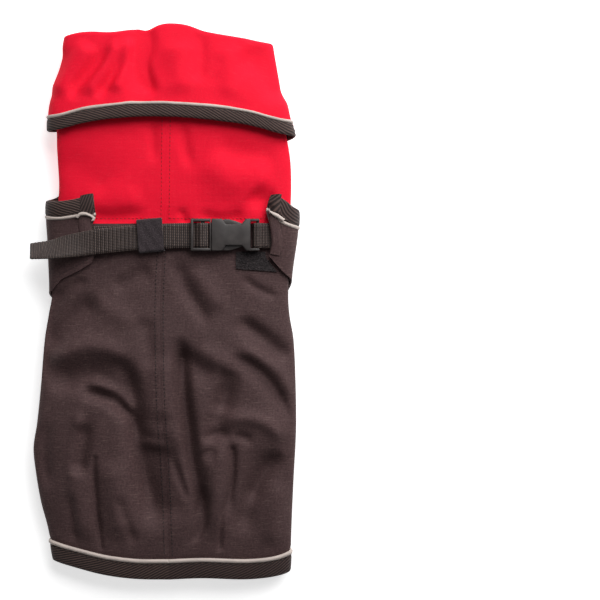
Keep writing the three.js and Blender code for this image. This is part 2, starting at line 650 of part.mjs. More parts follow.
const chestRight = edgeLine(belly, 1, ARMHOLE_RIGHT, 52);
const chestLeft = edgeLine(belly, -1, ARMHOLE_LEFT, 52);
const panelRight = beside(chestRight, CLOTH_EDGE);
const panelLeft = beside(chestLeft, -CLOTH_EDGE);
const placed = (points) => points.map((point) => unroll(belly, Math.sign(point.x - 1) || 1, point));
const chestOutline = [
  ...placed(WING_LEFT_END), ...placed(BELLY_EDGE), ...placed(WING_RIGHT_END),
  ...panelRight, ...placed(CHEST_TOP), ...[...panelLeft].reverse(),
];
const SAG = 0.6;
function panelHeight(u, y) {
  const middle = ramp(Math.abs(u), 0.34, 0.14) * ramp(y, 214, 196);
  return SAG * (1 - middle);
}
const WING_MARKS_U = [...marks(0.36, 0.57, 0.03), ...marks(0.62, 0.92, 0.06)];
const leftWingMarks = WING_MARKS_U.map((u) => -u).reverse();
const CHEST_MARKS_U = [...leftWingMarks, ...marks(-0.27, 0.27, 0.09), ...WING_MARKS_U];
const chestCloth = cutCloth(chestOutline, CHEST_MARKS_U, marks(-6, 216, 12.4));
const chestOuter = (u, y) => panelLift(u, y, panelHeight(u, y));
const chestInner = (u, y) => chestOuter(u, y) - CLOTH;
add('chest_panel', wall(belly, chestCloth, chestInner, chestOuter), 'charcoal');
for (const [name, side, line] of [['left', -1, chestLeft], ['right', 1, chestRight]]) {
  const inset = (distance) => beside(line, side * distance);
  const outer = (u, y) => panelLift(u, y, 0);
  const inner = (u, y) => panelLift(u, y, 0) - bindingThickness;
  const cordInner = (u, y) => panelLift(u, y, 0) - CLOTH - SAG;
  const binding = stripCloth([line, inset(BINDING / 2), inset(BINDING)]);
  add(`armhole_binding_${name}`, wall(belly, binding, inner, outer), 'twill');
  const cord = stripCloth([inset(TRIM_EDGE), inset(TRIM_EDGE + PIPING)]);
  add(`armhole_piping_${name}`, wall(belly, cord, cordInner, outer), 'piping', 0.5);
}

// Height of the back above the surface at a place on its upper side.
function crown(x, y) {
  const side = x < along(SECTIONS, y, 'seam') ? -1 : 1;
  const { x: u } = unroll(back, side, { face: 'top', x, y });
  return back.point(u, y).z;
}

// Label patch of plain rubber on the outer flap
const LABEL = { left: -77, right: -53, low: -124, high: -99, thickness: 0.6 };
const labelCorners = [
  [LABEL.right, LABEL.low], [LABEL.left, LABEL.low], [LABEL.left, LABEL.high], [LABEL.right, LABEL.high],
];
const labelCloth = cutCloth(
  labelCorners.map(([x, y]) => unroll(back, -1, { face: 'under', x, y })),
  marks(-0.93, -0.63, 0.06), marks(LABEL.low - 1, LABEL.high + 1, 9),
);
add('label_patch', wall(back, labelCloth, SEAM, SEAM + LABEL.thickness), 'rubber', 0.6);

// Loop patch under the buckle, cut off where the wing covers it
const LOOP_CORNERS = [[57.1, 40.2], [57.1, 26.8], [89.4, 24.2], [80.6, 35.6], [80.2, 40.2]];
const loopCloth = cutCloth(
  LOOP_CORNERS.map(([x, y]) => unroll(back, 1, { face: 'top', x, y })),
  marks(0.2, 0.5, 0.05), marks(20, 44, 8),
);
add('loop_patch', wall(back, loopCloth, SEAM, SEAM + 1.2), 'loop', 1);

// Buckle: it lies on the crown of the back, tilted as the cloth under it is.
const buckleMiddle = (BUCKLE_LEFT + BUCKLE_RIGHT) / 2;
const BUCKLE_Y = 53.5;
const buckleFall = crown(BUCKLE_LEFT, BUCKLE_Y) - crown(BUCKLE_RIGHT, BUCKLE_Y);
const buckleTilt = Math.atan2(buckleFall, BUCKLE_RIGHT - BUCKLE_LEFT);
const buckleRest = crown(buckleMiddle, BUCKLE_Y) + 0.5;
const onBuckle = (x, z) => ({
  x: buckleMiddle + (x - buckleMiddle) * Math.cos(buckleTilt) + z * Math.sin(buckleTilt),
  z: buckleRest - (x - buckleMiddle) * Math.sin(buckleTilt) + z * Math.cos(buckleTilt),
});

function slab(points, low, high) {
  const shape = new THREE.Shape(points.map(([x, y]) => new THREE.Vector2(x, y)));
  const geometry = new THREE.ExtrudeGeometry(shape, { depth: high - low, bevelEnabled: false });
  geometry.translate(0, 0, low);
  return toManifold(geometry);
}

function toManifold(geometry) {
  const bare = geometry.clone();
  bare.deleteAttribute('normal');
  bare.deleteAttribute('uv');
  const merged = mergeVertices(bare, 1e-4);
  return new wasm.Manifold(new wasm.Mesh({
    numProp: 3,
    vertProperties: new Float32Array(merged.attributes.position.array),
    triVerts: new Uint32Array(merged.index.array),
  }));
}

function toGeometry(manifold) {
  const mesh = manifold.getMesh();
  const geometry = new THREE.BufferGeometry();
  geometry.setAttribute('position', new THREE.BufferAttribute(new Float32Array(mesh.vertProperties), 3));
  geometry.setIndex(new THREE.BufferAttribute(new Uint32Array(mesh.triVerts), 1));
  return geometry;
}

const block = (x0, x1, y0, y1, z0, z1) => slab([[x0, y0], [x1, y0], [x1, y1], [x0, y1]], z0, z1);
const HALF = BUCKLE_WIDTH / 2;
const BAR_LOW = 2.7;
const BAR_HIGH = 5.2;
const SLOT_HALF = HALF - RAIL;

// Frame of the buckle with its cross bar and the two prongs that go into the housing
const ladder = block(BUCKLE_LEFT, HOUSING_LEFT - 0.5, -HALF, HALF, 0.2, BUCKLE_HEIGHT - 0.6)
  .subtract(block(BUCKLE_LEFT + 2.2, 35.9, -SLOT_HALF, SLOT_HALF, -1, BUCKLE_HEIGHT + 1))
  .subtract(block(BUCKLE_LEFT - 1, BUCKLE_LEFT + 3, -SLOT_HALF, SLOT_HALF, -1, 4.6))
  .subtract(block(34, 36.9, -SLOT_HALF, SLOT_HALF, -1, 0.9));
const crossBar = block(29.4, 32.2, -HALF + 0.5, HALF - 0.5, BAR_LOW, BAR_HIGH);
const prongEnd = 64;
const prong = (sign) => slab([
  [36.4, sign * 6.2], [50, sign * 7.6], [60, sign * 6.4], [prongEnd, sign * 5.2], [prongEnd, sign * 7.4],
  [60, sign * 10.6], [52, sign * 11.6], [46, sign * 10.2], [36.4, sign * 9.0],
], 2.8, 5.2);
const guide = block(36.4, 58, -1.6, 1.6, 2.8, 5.2);
const frame = ladder.add(crossBar).add(prong(1)).add(prong(-1)).add(guide);

// Housing with its open mouth, side scallops and end bar
const scallop = (sign) => slab([
  [45.8, sign * (HALF + 1)], [49, sign * (HALF - 4.4)], [61.4, sign * (HALF - 4.4)], [65, sign * (HALF + 1)],
], -1, BUCKLE_HEIGHT + 1);
const housing = block(HOUSING_LEFT, HOUSING_RIGHT, -HALF, HALF, 0, BUCKLE_HEIGHT)
  .subtract(scallop(1))
  .subtract(scallop(-1))
  .subtract(block(HOUSING_LEFT - 1, 65.6, -HALF + 1.6, HALF - 1.6, 2.4, 5.6))
  .add(block(HOUSING_RIGHT - 1, BUCKLE_RIGHT, -HALF, -SLOT_HALF, 0.8, BUCKLE_HEIGHT - 0.8))
  .add(block(HOUSING_RIGHT - 1, BUCKLE_RIGHT, SLOT_HALF, HALF, 0.8, BUCKLE_HEIGHT - 0.8))
  .add(block(73.0, BUCKLE_RIGHT, -HALF + 0.5, HALF - 0.5, BAR_LOW, BAR_HIGH));

for (const [name, solid] of [['buckle_frame', frame], ['buckle_housing', housing]]) {
  const geometry = toGeometry(solid);
  geometry.translate(-buckleMiddle, 0, 0);
  const mesh = add(name, geometry, 'plastic', 0.5);
  mesh.rotation.y = buckleTilt;
  mesh.position.set(buckleMiddle, BUCKLE_Y, buckleRest);
}

// Webbing: flat band through stations that give its middle, with its roll about its own line in degrees.
function band(stations) {
  const centres = stations.map(({ x, y, z }) => new THREE.Vector3(x, y, z));
  return loft(stations.map(({ roll = 0 }, i) => {
    const before = centres[Math.max(i - 1, 0)];
    const after = centres[Math.min(i + 1, centres.length - 1)];
    const tangent = new THREE.Vector3().subVectors(after, before).setY(0).normalize();
    const rise = new THREE.Vector3(-tangent.z, 0, tangent.x);
    const lean = degToRad(roll);
    const across = new THREE.Vector3(0, Math.cos(lean), 0).addScaledVector(rise, Math.sin(lean));
    const through = new THREE.Vector3().crossVectors(tangent, across).normalize();
    const corner = (w, t) => centres[i].clone()
      .addScaledVector(across, w * WEBBING_WIDTH / 2).addScaledVector(through, t * WEBBING / 2);
    return [corner(-1, -1), corner(1, -1), corner(1, 1), corner(-1, 1)];
  }));
}

const LOWER_RUN = 1.3;
const UPPER_RUN = 3.05;
const OVER_BAR = 6.5;
const above = (x, y, lift) => ({ x, y, z: crown(x, y) + lift });
const onFrame = (x, z, y = STRAP_Y) => ({ ...onBuckle(x, z), y });
const halfTurn = (x, steps, sign, from) => Array.from({ length: steps + 1 }, (_, i) => {
  const angle = from + Math.PI * i / steps;
  const radius = (OVER_BAR - LOWER_RUN) / 2;
  return onFrame(x + sign * radius * Math.cos(angle), LOWER_RUN + radius + radius * Math.sin(angle));
});

const fixedRun = [
  above(-64, 50.2, 1.0), above(-52, 50.6, 1.2), above(-38, 51, 2.3), above(-21, 51.6, 2.9),
  above(0, 52.4, 2.9),
];
const tailRun = [
  above(0, 52.4, 4.6), above(-21, 51.2, 4.6), above(-34, 50, 5.0), above(-46, 48.8, 6.0),
  { ...above(-58, 47.4, 6.6), roll: 3 }, { ...above(-68, 45.8, 8.0), roll: 14 },
  { ...above(-78, 44.2, 9.8), roll: 25 }, { ...above(-87, 42.6, 12.0), roll: 36 },
  { x: -97, y: 41.4, z: 28.0, roll: 46 }, { x: -106.9, y: 40.6, z: 26.4, roll: 52 },
];
add('webbing_left', band([
  ...fixedRun, onFrame(18, LOWER_RUN), ...halfTurn(32.2, 8, 1, -Math.PI / 2),
  onFrame(29, OVER_BAR), onFrame(26.6, 5.0), onFrame(24.2, 3.4), onFrame(20.5, UPPER_RUN), ...tailRun,
]), 'webbing');
const sewnEnd = { x: 89, lower: 1.1, upper: 2.8 };
add('webbing_right', band([
  above(sewnEnd.x, STRAP_Y, sewnEnd.lower), above(84, STRAP_Y, 1.3), onFrame(78, LOWER_RUN),
  ...halfTurn(73.6, 8, -1, -Math.PI / 2),
  onFrame(76.2, 5.9), onFrame(78.6, 3.8), above(84, STRAP_Y, 3.2), above(sewnEnd.x, STRAP_Y, sewnEnd.upper),
]), 'webbing');

// Keeper: a tab of hook cloth closed round both runs of the strap
const KEEPER = { x: -20.6, width: 20, y: 52.2, length: 26.6, height: 6.9, cloth: 1.2, turn: 5 };
const keeperShape = new THREE.Shape();
const outerHalf = KEEPER.length / 2;
const hollowHalf = outerHalf - KEEPER.cloth;
const chamfer = 0.8;
keeperShape.moveTo(-outerHalf, chamfer).lineTo(-outerHalf + chamfer, 0)
  .lineTo(outerHalf - chamfer, 0).lineTo(outerHalf, chamfer)
  .lineTo(outerHalf, KEEPER.height - chamfer).lineTo(outerHalf - chamfer, KEEPER.height)
  .lineTo(-outerHalf + chamfer, KEEPER.height).lineTo(-outerHalf, KEEPER.height - chamfer);
const hollow = new THREE.Path();
hollow.moveTo(-hollowHalf, KEEPER.cloth).lineTo(hollowHalf, KEEPER.cloth)
  .lineTo(hollowHalf, KEEPER.height - KEEPER.cloth).lineTo(-hollowHalf, KEEPER.height - KEEPER.cloth);
keeperShape.holes.push(hollow);
const keeperGeometry = new THREE.ExtrudeGeometry(keeperShape, { depth: KEEPER.width, bevelEnabled: false });
keeperGeometry.rotateX(Math.PI / 2);
keeperGeometry.rotateZ(Math.PI / 2);
const keeper = add('keeper', keeperGeometry, 'hook', 1);
keeper.rotation.z = degToRad(KEEPER.turn);
keeper.position.set(KEEPER.x, KEEPER.y, crown(KEEPER.x + KEEPER.width / 2, KEEPER.y) + 0.6);

export default coat;
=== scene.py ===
"""Dog winter coat, laid flat with its back up: its panels, tapes, pipings, webbing and buckle.

Lengths in the tables are millimetres: +Y towards the collar, +Z up.
"""

import logging
import math
import random
from collections.abc import Callable, Sequence
from dataclasses import dataclass, field
from enum import Enum

import bmesh
import bpy
import numpy as np
from mathutils import Matrix, Vector


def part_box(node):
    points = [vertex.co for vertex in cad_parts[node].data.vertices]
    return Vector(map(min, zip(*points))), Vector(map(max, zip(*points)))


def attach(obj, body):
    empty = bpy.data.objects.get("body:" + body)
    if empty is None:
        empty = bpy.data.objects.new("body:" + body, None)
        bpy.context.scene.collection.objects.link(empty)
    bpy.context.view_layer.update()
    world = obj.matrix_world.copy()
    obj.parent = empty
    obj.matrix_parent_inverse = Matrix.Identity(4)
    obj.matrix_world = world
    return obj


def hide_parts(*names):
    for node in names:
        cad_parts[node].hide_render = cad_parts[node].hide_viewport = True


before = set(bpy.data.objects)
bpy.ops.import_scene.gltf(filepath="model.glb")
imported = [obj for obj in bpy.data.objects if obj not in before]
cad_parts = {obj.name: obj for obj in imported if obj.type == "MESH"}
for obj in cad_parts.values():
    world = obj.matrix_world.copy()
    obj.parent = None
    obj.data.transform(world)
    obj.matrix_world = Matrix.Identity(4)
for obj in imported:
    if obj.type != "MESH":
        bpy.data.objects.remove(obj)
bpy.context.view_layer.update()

LOG = logging.getLogger("dog_winter_coat")
MM = 0.001
BODY = "root"
Array = np.ndarray
Lift = Callable[[Array, Array], Array]
Mesh = bmesh.types.BMesh
Piece = bpy.types.Object
Socket = bpy.types.NodeSocket
Place = tuple[float, float]
Point = tuple[float, float, float]

# Thickness of the cloths, widths of the trims and gaps between layers
CLOTH = 1.5
SEAM = 0.3
FLEECE = 2.0
TAPE = 0.5
PIPING = 2.1
BINDING = 12.4
HEM_BINDING = 13.4
COLLAR_BINDING = 9.6
TRIM_RISE = 0.9
TRIM_THICK = CLOTH + TRIM_RISE
TRIM_EDGE = BINDING + SEAM
WING_REST = 1.2
FOLD_GAP = 2.2
COLLAR_STAND = 2.6
FLAP_RISE = 2.8
SAG = 0.6
HALF_SEAM = 0.0001
THREAD_RISE = 0.1

# Joining of meshes
WELD = 0.01
CUT_SNAP = 0.02
SHORTEST_EDGE = 0.05
SHARP_ANGLE = math.radians(60)

# Seams across the coat
NECK_SEAM_Y = 150.0
YOKE_SEAM_Y = 62.6
UNDER_TURN_Y = 206.5

# Belt
WEBBING_WIDTH = 20.0
WEBBING = 1.4
STRAP_Y = 53.0
BUCKLE_LEFT = 21.0
BUCKLE_RIGHT = 75.6
BUCKLE_Y = 53.5


class Face(Enum):
    """Side of the laid coat that a point is given on."""

    TOP = "top"
    UNDER = "under"


@dataclass(frozen=True)
class Station:
    """Outer face of the coat at one place along its length."""

    y: float
    left: float
    seam: float
    right: float
    crest: float
    floor: float


STATIONS = (
    Station(-226, -88.0, 3.4, 99.0, 17, 0.9),
    Station(-204, -91.0, 3.0, 100.4, 20, 0.9),
    Station(-181, -95.0, 2.4, 101.2, 23, 0.9),
    Station(-159, -100.5, 1.6, 102.1, 26, 0.9),
    Station(-133, -104.6, 0.6, 103.4, 28.5, 0.9),
    Station(-116, -105.9, 0.0, 104.4, 30, 0.9),
    Station(-97, -103.0, -1.0, 105.0, 31, 0.9),
    Station(-67, -99.9, -2.0, 104.6, 31, 0.9),
    Station(-30, -96.9, -3.0, 102.9, 30, 0.9),
    Station(-10, -93.8, -3.2, 99.6, 28, 1.9),
    Station(6, -91.2, -3.0, 98.6, 27, 3.0),
    Station(40, -91.8, -1.2, 99.8, 26.5, 3.0),
    Station(60, -90.2, 0.6, 100.2, 26.5, 3.0),
    Station(78, -86.6, 1.3, 100.6, 27.5, 3.0),
    Station(93, -85.4, 1.5, 101.0, 28, 3.2),
    Station(111, -86.2, 1.6, 100.5, 28, 4.4),
    Station(127, -87.0, 1.8, 98.3, 28, 5.2),
    Station(151, -86.6, 2.0, 93.0, 27, 5.7),
    Station(181, -82.4, 2.0, 88.0, 25, 5.7),
    Station(206, -78.5, 2.0, 83.0, 23, 5.7),
    Station(224, -76.0, 2.2, 80.5, 20, 5.7),
)


@dataclass(frozen=True)
class Crease:
    """Soft trough (or ridge, where the depth is negative) along a line of the cloth.

    The steep value is how much narrower the side to the right of the line is.
    """

    depth: float
    width: float
    line: tuple[Place, ...]
    steep: float = 1.0
    start: float = 0.25
    end: float = 0.25


BACK_CREASES = (
    Crease(4.2, 6.5, ((13, -26), (14, -67), (17, -97), (22, -128), (28, -158), (24, -184)), 0.75, 0.12, 0.2),
    Crease(3.4, 7.0, ((-55, -42), (-32, -54), (-24, -82), (-23, -105), (-17, -143), (-10, -181))),
    Crease(2.4, 15.0, ((0, -106), (2, -140), (5, -180))),
    Crease(3.0, 6.0, ((-70, -68), (-52, -73), (-38, -79), (-25, -96))),
    Crease(2.6, 8.0, ((-50, 4), (-72, -12), (-95, -42))),
    Crease(2.6, 6.0, ((-63, -94), (-68, -112), (-71, -140))),
    Crease(1.9, 6.0, ((50, -39), (66, -50), (80, -64), (92, -82), (98, -98)), 1.0, 0.35, 0.3),
    Crease(2.0, 7.0, ((55, -10), (74, -28), (96, -50))),
    Crease(2.6, 8.0, ((56, -58), (49, -76), (40, -104), (43, -124))),
    Crease(2.2, 7.0, ((95, -118), (82, -136), (64, -162))),
    Crease(1.2, 4.0, ((-55.5, -123), (-56.3, -140), (-54.8, -162), (-51, -196))),
    Crease(1.8, 3.5, ((52.4, -106), (54.4, -118), (53.6, -142), (50.8, -176))),
    # main trough: its sharp top, and the bowl at its foot
    Crease(2.4, 5.0, ((13, -22), (13, -46), (16, -74), (20, -100), (24, -136)), 1.3, 0.3, 0.35),
    Crease(2.6, 3.2, ((29, -142), (32, -162), (31, -178), (24, -189), (14, -192)), 1.9, 0.3, 0.4),
    Crease(2.4, 7.0, ((12, -36), (27, -52), (46, -61)), 1.5, 0.3, 0.4),
    Crease(-1.4, 7.0, ((24, -34), (44, -46), (58, -50))),
    # left arch, the step under it and the arch below
    Crease(4.4, 13.0, ((-96, -70), (-76, -62), (-56, -58), (-38, -67), (-27, -88)), 0.6),
    Crease(-2.0, 8.0, ((-96, -49), (-75, -39), (-56, -35), (-40, -40), (-29, -52))),
    Crease(2.0, 4.6, ((-72, -78), (-54, -75), (-39, -82), (-26, -95), (-20, -114)), 0.8, 0.35, 0.3),
    Crease(-1.4, 4.5, ((-68, -67), (-53, -65), (-36, -73), (-22, -92))),
    Crease(1.8, 9.0, ((-28, -70), (-21, -100), (-17, -140), (-12, -186))),
    # left crease with its lit edge
    Crease(1.2, 5.0, ((-59, -84), (-62, -108), (-67, -143)), 1.3, 0.3, 0.3),
    Crease(-1.8, 4.5, ((-66, -84), (-70, -108), (-76, -144))),
    Crease(1.2, 5.0, ((-92, -92), (-96, -120), (-92, -152))),
    # hollow beside the back seam
    Crease(3.0, 9.0, ((-9, -110), (-9, -142), (-5, -188)), 1.0, 0.14, 0.3),
    Crease(1.0, 5.0, ((-22, -104), (-8, -109), (8, -108)), 0.9, 0.3, 0.3),
    Crease(1.2, 3.4, ((4, -118), (12, -141), (21, -164)), 0.8, 0.35, 0.35),
    # right arc, and what lies inside it
    Crease(1.0, 3.4, ((48, -42), (69, -49), (85, -63), (96, -83), (101, -106)), 0.8, 0.3, 0.3),
    Crease(-1.6, 5.5, ((54, -37), (74, -42), (92, -57), (103, -80))),
    Crease(1.6, 6.0, ((58, -14), (84, -30), (104, -50))),
    Crease(2.2, 8.0, ((54, -52), (48, -70), (44, -90))),
    Crease(1.8, 4.6, ((29, -112), (42, -105), (56, -107)), 0.8, 0.35, 0.35),
    Crease(2.0, 6.5, ((31, -115), (38, -121), (45, -123)), 1.0, 0.4, 0.4),
    Crease(1.4, 4.2, ((52, -107), (61, -107), (72, -113)), 0.8, 0.35, 0.35),
    Crease(-2.0, 6.0, ((42, -96), (63, -92), (82, -97), (97, -114))),
    Crease(2.8, 7.0, ((92, -116), (78, -134), (68, -160), (62, -190)), 1.5),
    # seams of the darts draw the cloth in
    Crease(1.4, 1.5, ((-53.8, -121), (-55.8, -127), (-54.6, -163), (-50.6, -200)), 1.0, 0.05, 0.05),
    Crease(1.4, 1.5, ((52.8, -113), (55, -121), (53.6, -146), (46.2, -171), (43.8, -200)), 1.0, 0.05, 0.05),
    # swell between the troughs
    Crease(-2.0, 10.0, ((-42, -122), (-38, -156), (-32, -194))),
    Crease(-1.4, 8.0, ((-72, -128), (-70, -160), (-64, -194))),
    Crease(-2.2, 9.0, ((38, -92), (41, -140), (40, -194))),
    Crease(-1.6, 10.0, ((2, -40), (0, -70), (-2, -98))),
    Crease(-1.4, 8.0, ((92, -140), (88, -170), (84, -198))),
    Crease(1.4, 4.5, ((-77, -150), (-74, -172), (-72, -197))),
    Crease(1.2, 4.0, ((-38, -152), (-30, -176), (-24, -196))),
    # seam down the middle of the back
    Crease(
        0.15, 1.1,
        (
            (0.6, 60), (-1.2, 40), (-3, 6), (-3.2, -10), (-3, -30), (-2, -67), (-1, -97), (0, -116),
            (1.6, -159), (3, -204),
        ),
        1.0, 0.01, 0.01,
    ),
    # flank that falls away at the left
    Crease(2.4, 12.0, ((-92, 14), (-96, -14), (-99, -44), (-101, -70)), 1.0, 0.15, 0.3),
    # near the belt
    Crease(1.4, 7.0, ((-16, -10), (-13, -34), (-9, -56))),
    Crease(2.0, 6.0, ((8, 38), (17, 11), (25, -1), (37, -22))),
    Crease(-1.2, 7.0, ((22, 28), (36, 8), (48, -8))),
    Crease(1.5, 6.5, ((-8, 27), (-24, 20), (-42, 8))),
    Crease(-1.0, 8.0, ((-60, 2), (-40, -8), (-24, -20))),
    Crease(1.2, 3.5, ((60, 22), (72, 12), (92, 3))),
    Crease(1.4, 4.0, ((-90, 2), (-76, 12), (-60, 19))),
    # yoke
    Crease(0.9, 4.5, ((-9.6, 146), (-8.6, 128), (-8, 108)), 1.0, 0.25, 0.4),
    Crease(1.0, 5.0, ((14.4, 146), (17, 122), (24, 102)), 1.0, 0.25, 0.4),
    Crease(2.0, 9.0, ((68, 90), (78, 82), (90, 80)), 1.0, 0.35, 0.25),
    Crease(0.9, 3.5, ((12, 76), (17, 62)), 1.0, 0.4, 0.2),
    Crease(1.0, 14.0, ((-84, 120), (-60, 100), (-44, 84))),
    Crease(-1.0, 12.0, ((-70, 82), (-36, 80), (-14, 84))),
    Crease(-1.3, 14.0, ((28, 116), (58, 98), (90, 104))),
    Crease(1.0, 9.0, ((36, 128), (60, 120), (92, 118))),
    Crease(1.2, 6.0, ((-64, 70), (-40, 68), (-12, 72))),
    Crease(1.2, 5.0, ((24, 71), (44, 66), (66, 70))),
)

COLLAR_CREASES = (
    Crease(3.0, 7.0, ((-16, 224), (-15, 206), (-19, 184), (-8, 160)), 1.4),
    Crease(2.2, 5.0, ((-40, 212), (-52, 192), (-62, 180), (-69, 171), (-74, 158)), 1.0, 0.4, 0.2),
    Crease(2.0, 4.6, ((-27, 202), (-36, 186), (-44, 174), (-54, 160)), 1.0, 0.45, 0.25),
    Crease(2.4, 10.0, ((62, 204), (80, 184), (92, 156))),
    Crease(1.4, 5.0, ((-20, 221), (-21, 200), (-15, 180), (-6, 160)), 0.9, 0.1, 0.2),
    Crease(-1.8, 6.0, ((-27, 212), (-31, 190), (-40, 164)), 1.0, 0.2, 0.2),
    Crease(-1.8, 5.0, ((-36, 210), (-48, 184), (-62, 162)), 1.0, 0.2, 0.2),
    Crease(-1.8, 7.0, ((-58, 208), (-74, 182), (-84, 162)), 1.0, 0.2, 0.2),
    Crease(-1.6, 11.0, ((10, 210), (12, 186), (14, 162))),
    Crease(1.0, 5.0, ((28, 216), (30, 196), (26, 172))),
    Crease(-1.2, 9.0, ((46, 208), (52, 184), (50, 158))),
    Crease(1.4, 6.0, ((-78, 206), (-86, 182), (-92, 160))),
)

UNDER_CREASES = (
    # chest panel
    Crease(1.6, 4.5, ((4, 158), (12, 148), (20, 136), (34, 122))),
    Crease(1.0, 3.0, ((8, 152), (17, 140), (24, 132))),
    Crease(1.3, 5.0, ((8, 206), (10, 192), (6, 178))),
    Crease(1.3, 5.5, ((-24, 182), (-34, 168), (-44, 154))),
    Crease(-0.8, 8.0, ((-8, 188), (-14, 164), (-8, 140))),
    Crease(1.0, 7.0, ((70, 92), (48, 98), (26, 106))),
    Crease(0.9, 8.0, ((-16, 110), (-40, 100), (-60, 92))),
    Crease(0.9, 7.0, ((-66, 64), (-74, 48), (-70, 34))),
    Crease(0.6, 5.0, ((-84, 34), (-72, 30), (-62, 34))),
    # gathers over the elastic
    Crease(0.5, 2.4, ((18, 34), (21, 22), (15, 10))),
    Crease(0.5, 2.0, ((2, 30), (-2, 20), (2, 10))),
    Crease(0.4, 2.0, ((-30, 28), (-27, 18), (-30, 9))),
    Crease(0.4, 2.2, ((44, 28), (41, 18), (44, 9))),
    Crease(0.4, 2.0, ((-56, 27), (-54, 17), (-58, 9))),
    Crease(0.4, 2.0, ((68, 27), (71, 17), (67, 9))),
    Crease(0.3, 1.2, ((88, 7.4), (40, 7.8), (0, 7.4), (-40, 7.4), (-86, 6))),
    Crease(0.3, 1.2, ((84, 22), (59, 24), (0, 24.4), (-77, 24.4))),
    # flap on the wearer's right, with its slanting pulls
    Crease(2.2, 7.0, ((40, -28), (52, -46), (70, -58))),
    Crease(2.6, 7.5, ((16, -46), (34, -60), (50, -86), (58, -112))),
    Crease(1.6, 5.0, ((24, -70), (36, -92), (46, -118))),
    Crease(-1.4, 9.0, ((22, -24), (46, -34), (74, -40))),
    Crease(2.4, 9.0, ((84, -142), (62, -142), (40, -136), (24, -120))),
    Crease(-1.6, 10.0, ((72, -110), (50, -128), (30, -150))),
    Crease(1.6, 6.0, ((82, -168), (60, -172), (44, -184))),
    # flap on the wearer's left
    Crease(2.2, 7.0, ((-30, -38), (-50, -46), (-70, -40))),
    Crease(2.0, 8.0, ((-20, -86), (-36, -94), (-56, -92))),
    Crease(2.4, 8.0, ((-28, -112), (-42, -128), (-64, -136), (-84, -130))),
    Crease(-1.4, 9.0, ((-24, -64), (-50, -70), (-84, -62))),
    Crease(1.4, 7.0, ((-50, -150), (-66, -168), (-84, -176))),
)


@dataclass(frozen=True)
class EdgePoint:
    """Point of an edge, on the upper or the under side."""

    face: Face
    x: float
    y: float


def top(*places: Place) -> tuple[EdgePoint, ...]:
    """Edge points on the upper side."""
    return tuple(EdgePoint(Face.TOP, x, y) for x, y in places)


def under(*places: Place) -> tuple[EdgePoint, ...]:
    """Edge points on the under side."""
    return tuple(EdgePoint(Face.UNDER, x, y) for x, y in places)


HEM_RIGHT = top((3.4, -222.4), (30, -221.4), (68, -222.4), (92, -219.6)) + under(
    (92, -213), (72, -212.5), (50, -209), (26, -196), (11, -177), (0.5, -157), (-3.5, -134),
    (-2.8, -103), (0.5, -68), (4, -24), (6, 62.4),
)
HEM_LEFT = top((3.2, -222.4), (-24, -222), (-50, -218.6), (-80, -211)) + under(
    (-86, -205.5), (-68, -206), (-49, -197.5), (-31, -181.4), (-14, -157), (-2.5, -132), (6, -103),
    (7, -57), (3.4, 0), (2, 62.4),
)
ARMHOLE_RIGHT = top((83.6, 86.2), (89, 84.8), (95, 80.8), (99.8, 75.4)) + under(
    (98.4, 72.6), (93, 78), (82, 91.4), (69.9, 109.2), (59.2, 129.1), (50.1, 146.5), (47.2, 162),
    (46.2, 180), (47, 209),
)
ARMHOLE_LEFT = top((-56, 85), (-70, 82.2), (-81, 80.4)) + under(
    (-86, 81.2), (-82, 88), (-76.5, 100), (-71.5, 117), (-67, 138.3), (-62, 159.7), (-56, 180), (-48, 209),
)
WING_RIGHT_END = top((99, 17.2), (93, 24.8), (82.4, 36.8), (85, 43), (83, 62))
WING_LEFT_END = top((-57.2, 59.4), (-54.8, 37), (-57.8, 31), (-67, 25.5), (-81.6, 18.6), (-88.6, 11))
BELLY_EDGE = under((-88, 0.5), (-40, 5), (40, 5), (92, 2))
CHEST_TOP = under((24, 212), (0, 213.4), (-24, 212.4))
COLLAR_EDGE = (
    under((-44, 189), (-54, 175), (-64, 160), (-74, 146), (-82, 138.4))
    + top((-83, 137), (-60, 142.8), (-30, 146.2), (2, 146.8), (34, 144.6), (68, 139.8), (88, 134.4))
    + under((93, 129), (84, 131.6), (70, 145), (56, 162), (42, 181))
)
COLLAR_TURN = (
    (-90, 209), (-76, 214.4), (-64, 216.2), (-42, 215.6), (-22, 218), (-15, 217.2), (-4, 221.4),
    (6, 222.5), (18, 221), (33, 215.8), (58, 211.4), (84, 207), (96, 206),
)
YOKE_ARMHOLE = ((84, 62.9), (72, 84), (54, 112), (41, 136), (36, 150))


@dataclass(frozen=True)
class WingHem:
    """Folded hem at a wing's end: its lines on the upper side and its width."""

    tape: tuple[Place, ...]
    cloth: tuple[Place, ...]
    piping: tuple[Place, ...]
    width: float


WING_HEM_LEFT = WingHem(
    ((-55.6, 85.4), (-55.2, 78), (-55.8, 71.6)),
    ((-56.8, 70.6), (-57.6, 62), (-55.6, 48), (-54.8, 37)),
    ((-67.5, 67.8), (-64.6, 70.4), (-61, 71), (-58, 69.4), (-56.4, 66.2), (-56.6, 63.8)),
    9.5,
)
WING_HEM_RIGHT = WingHem(
    ((84, 86.6), (83.2, 79), (82.8, 72.4)),
    ((82.8, 71.2), (82.6, 62), (84.4, 48), (82.8, 38.4)),
    ((92.5, 66), (89.6, 68.8), (87, 71), (84.6, 71.4), (83.2, 69.6)),
    8.0,
)


@dataclass(frozen=True)
class Flare:
    """Place where a wing stands off the waist."""

    x: float
    y: float
    z: float
    height: float
    across: float
    along: float


FLARES = (
    Flare(-92, 82, 14, 7.2, 26, 24),
    Flare(102, 74, 14, 3.2, 26, 24),
    Flare(86, 53, 22, 4.4, 20, 24),
    Flare(-58, 52, 25, 2.4, 20, 24),
)

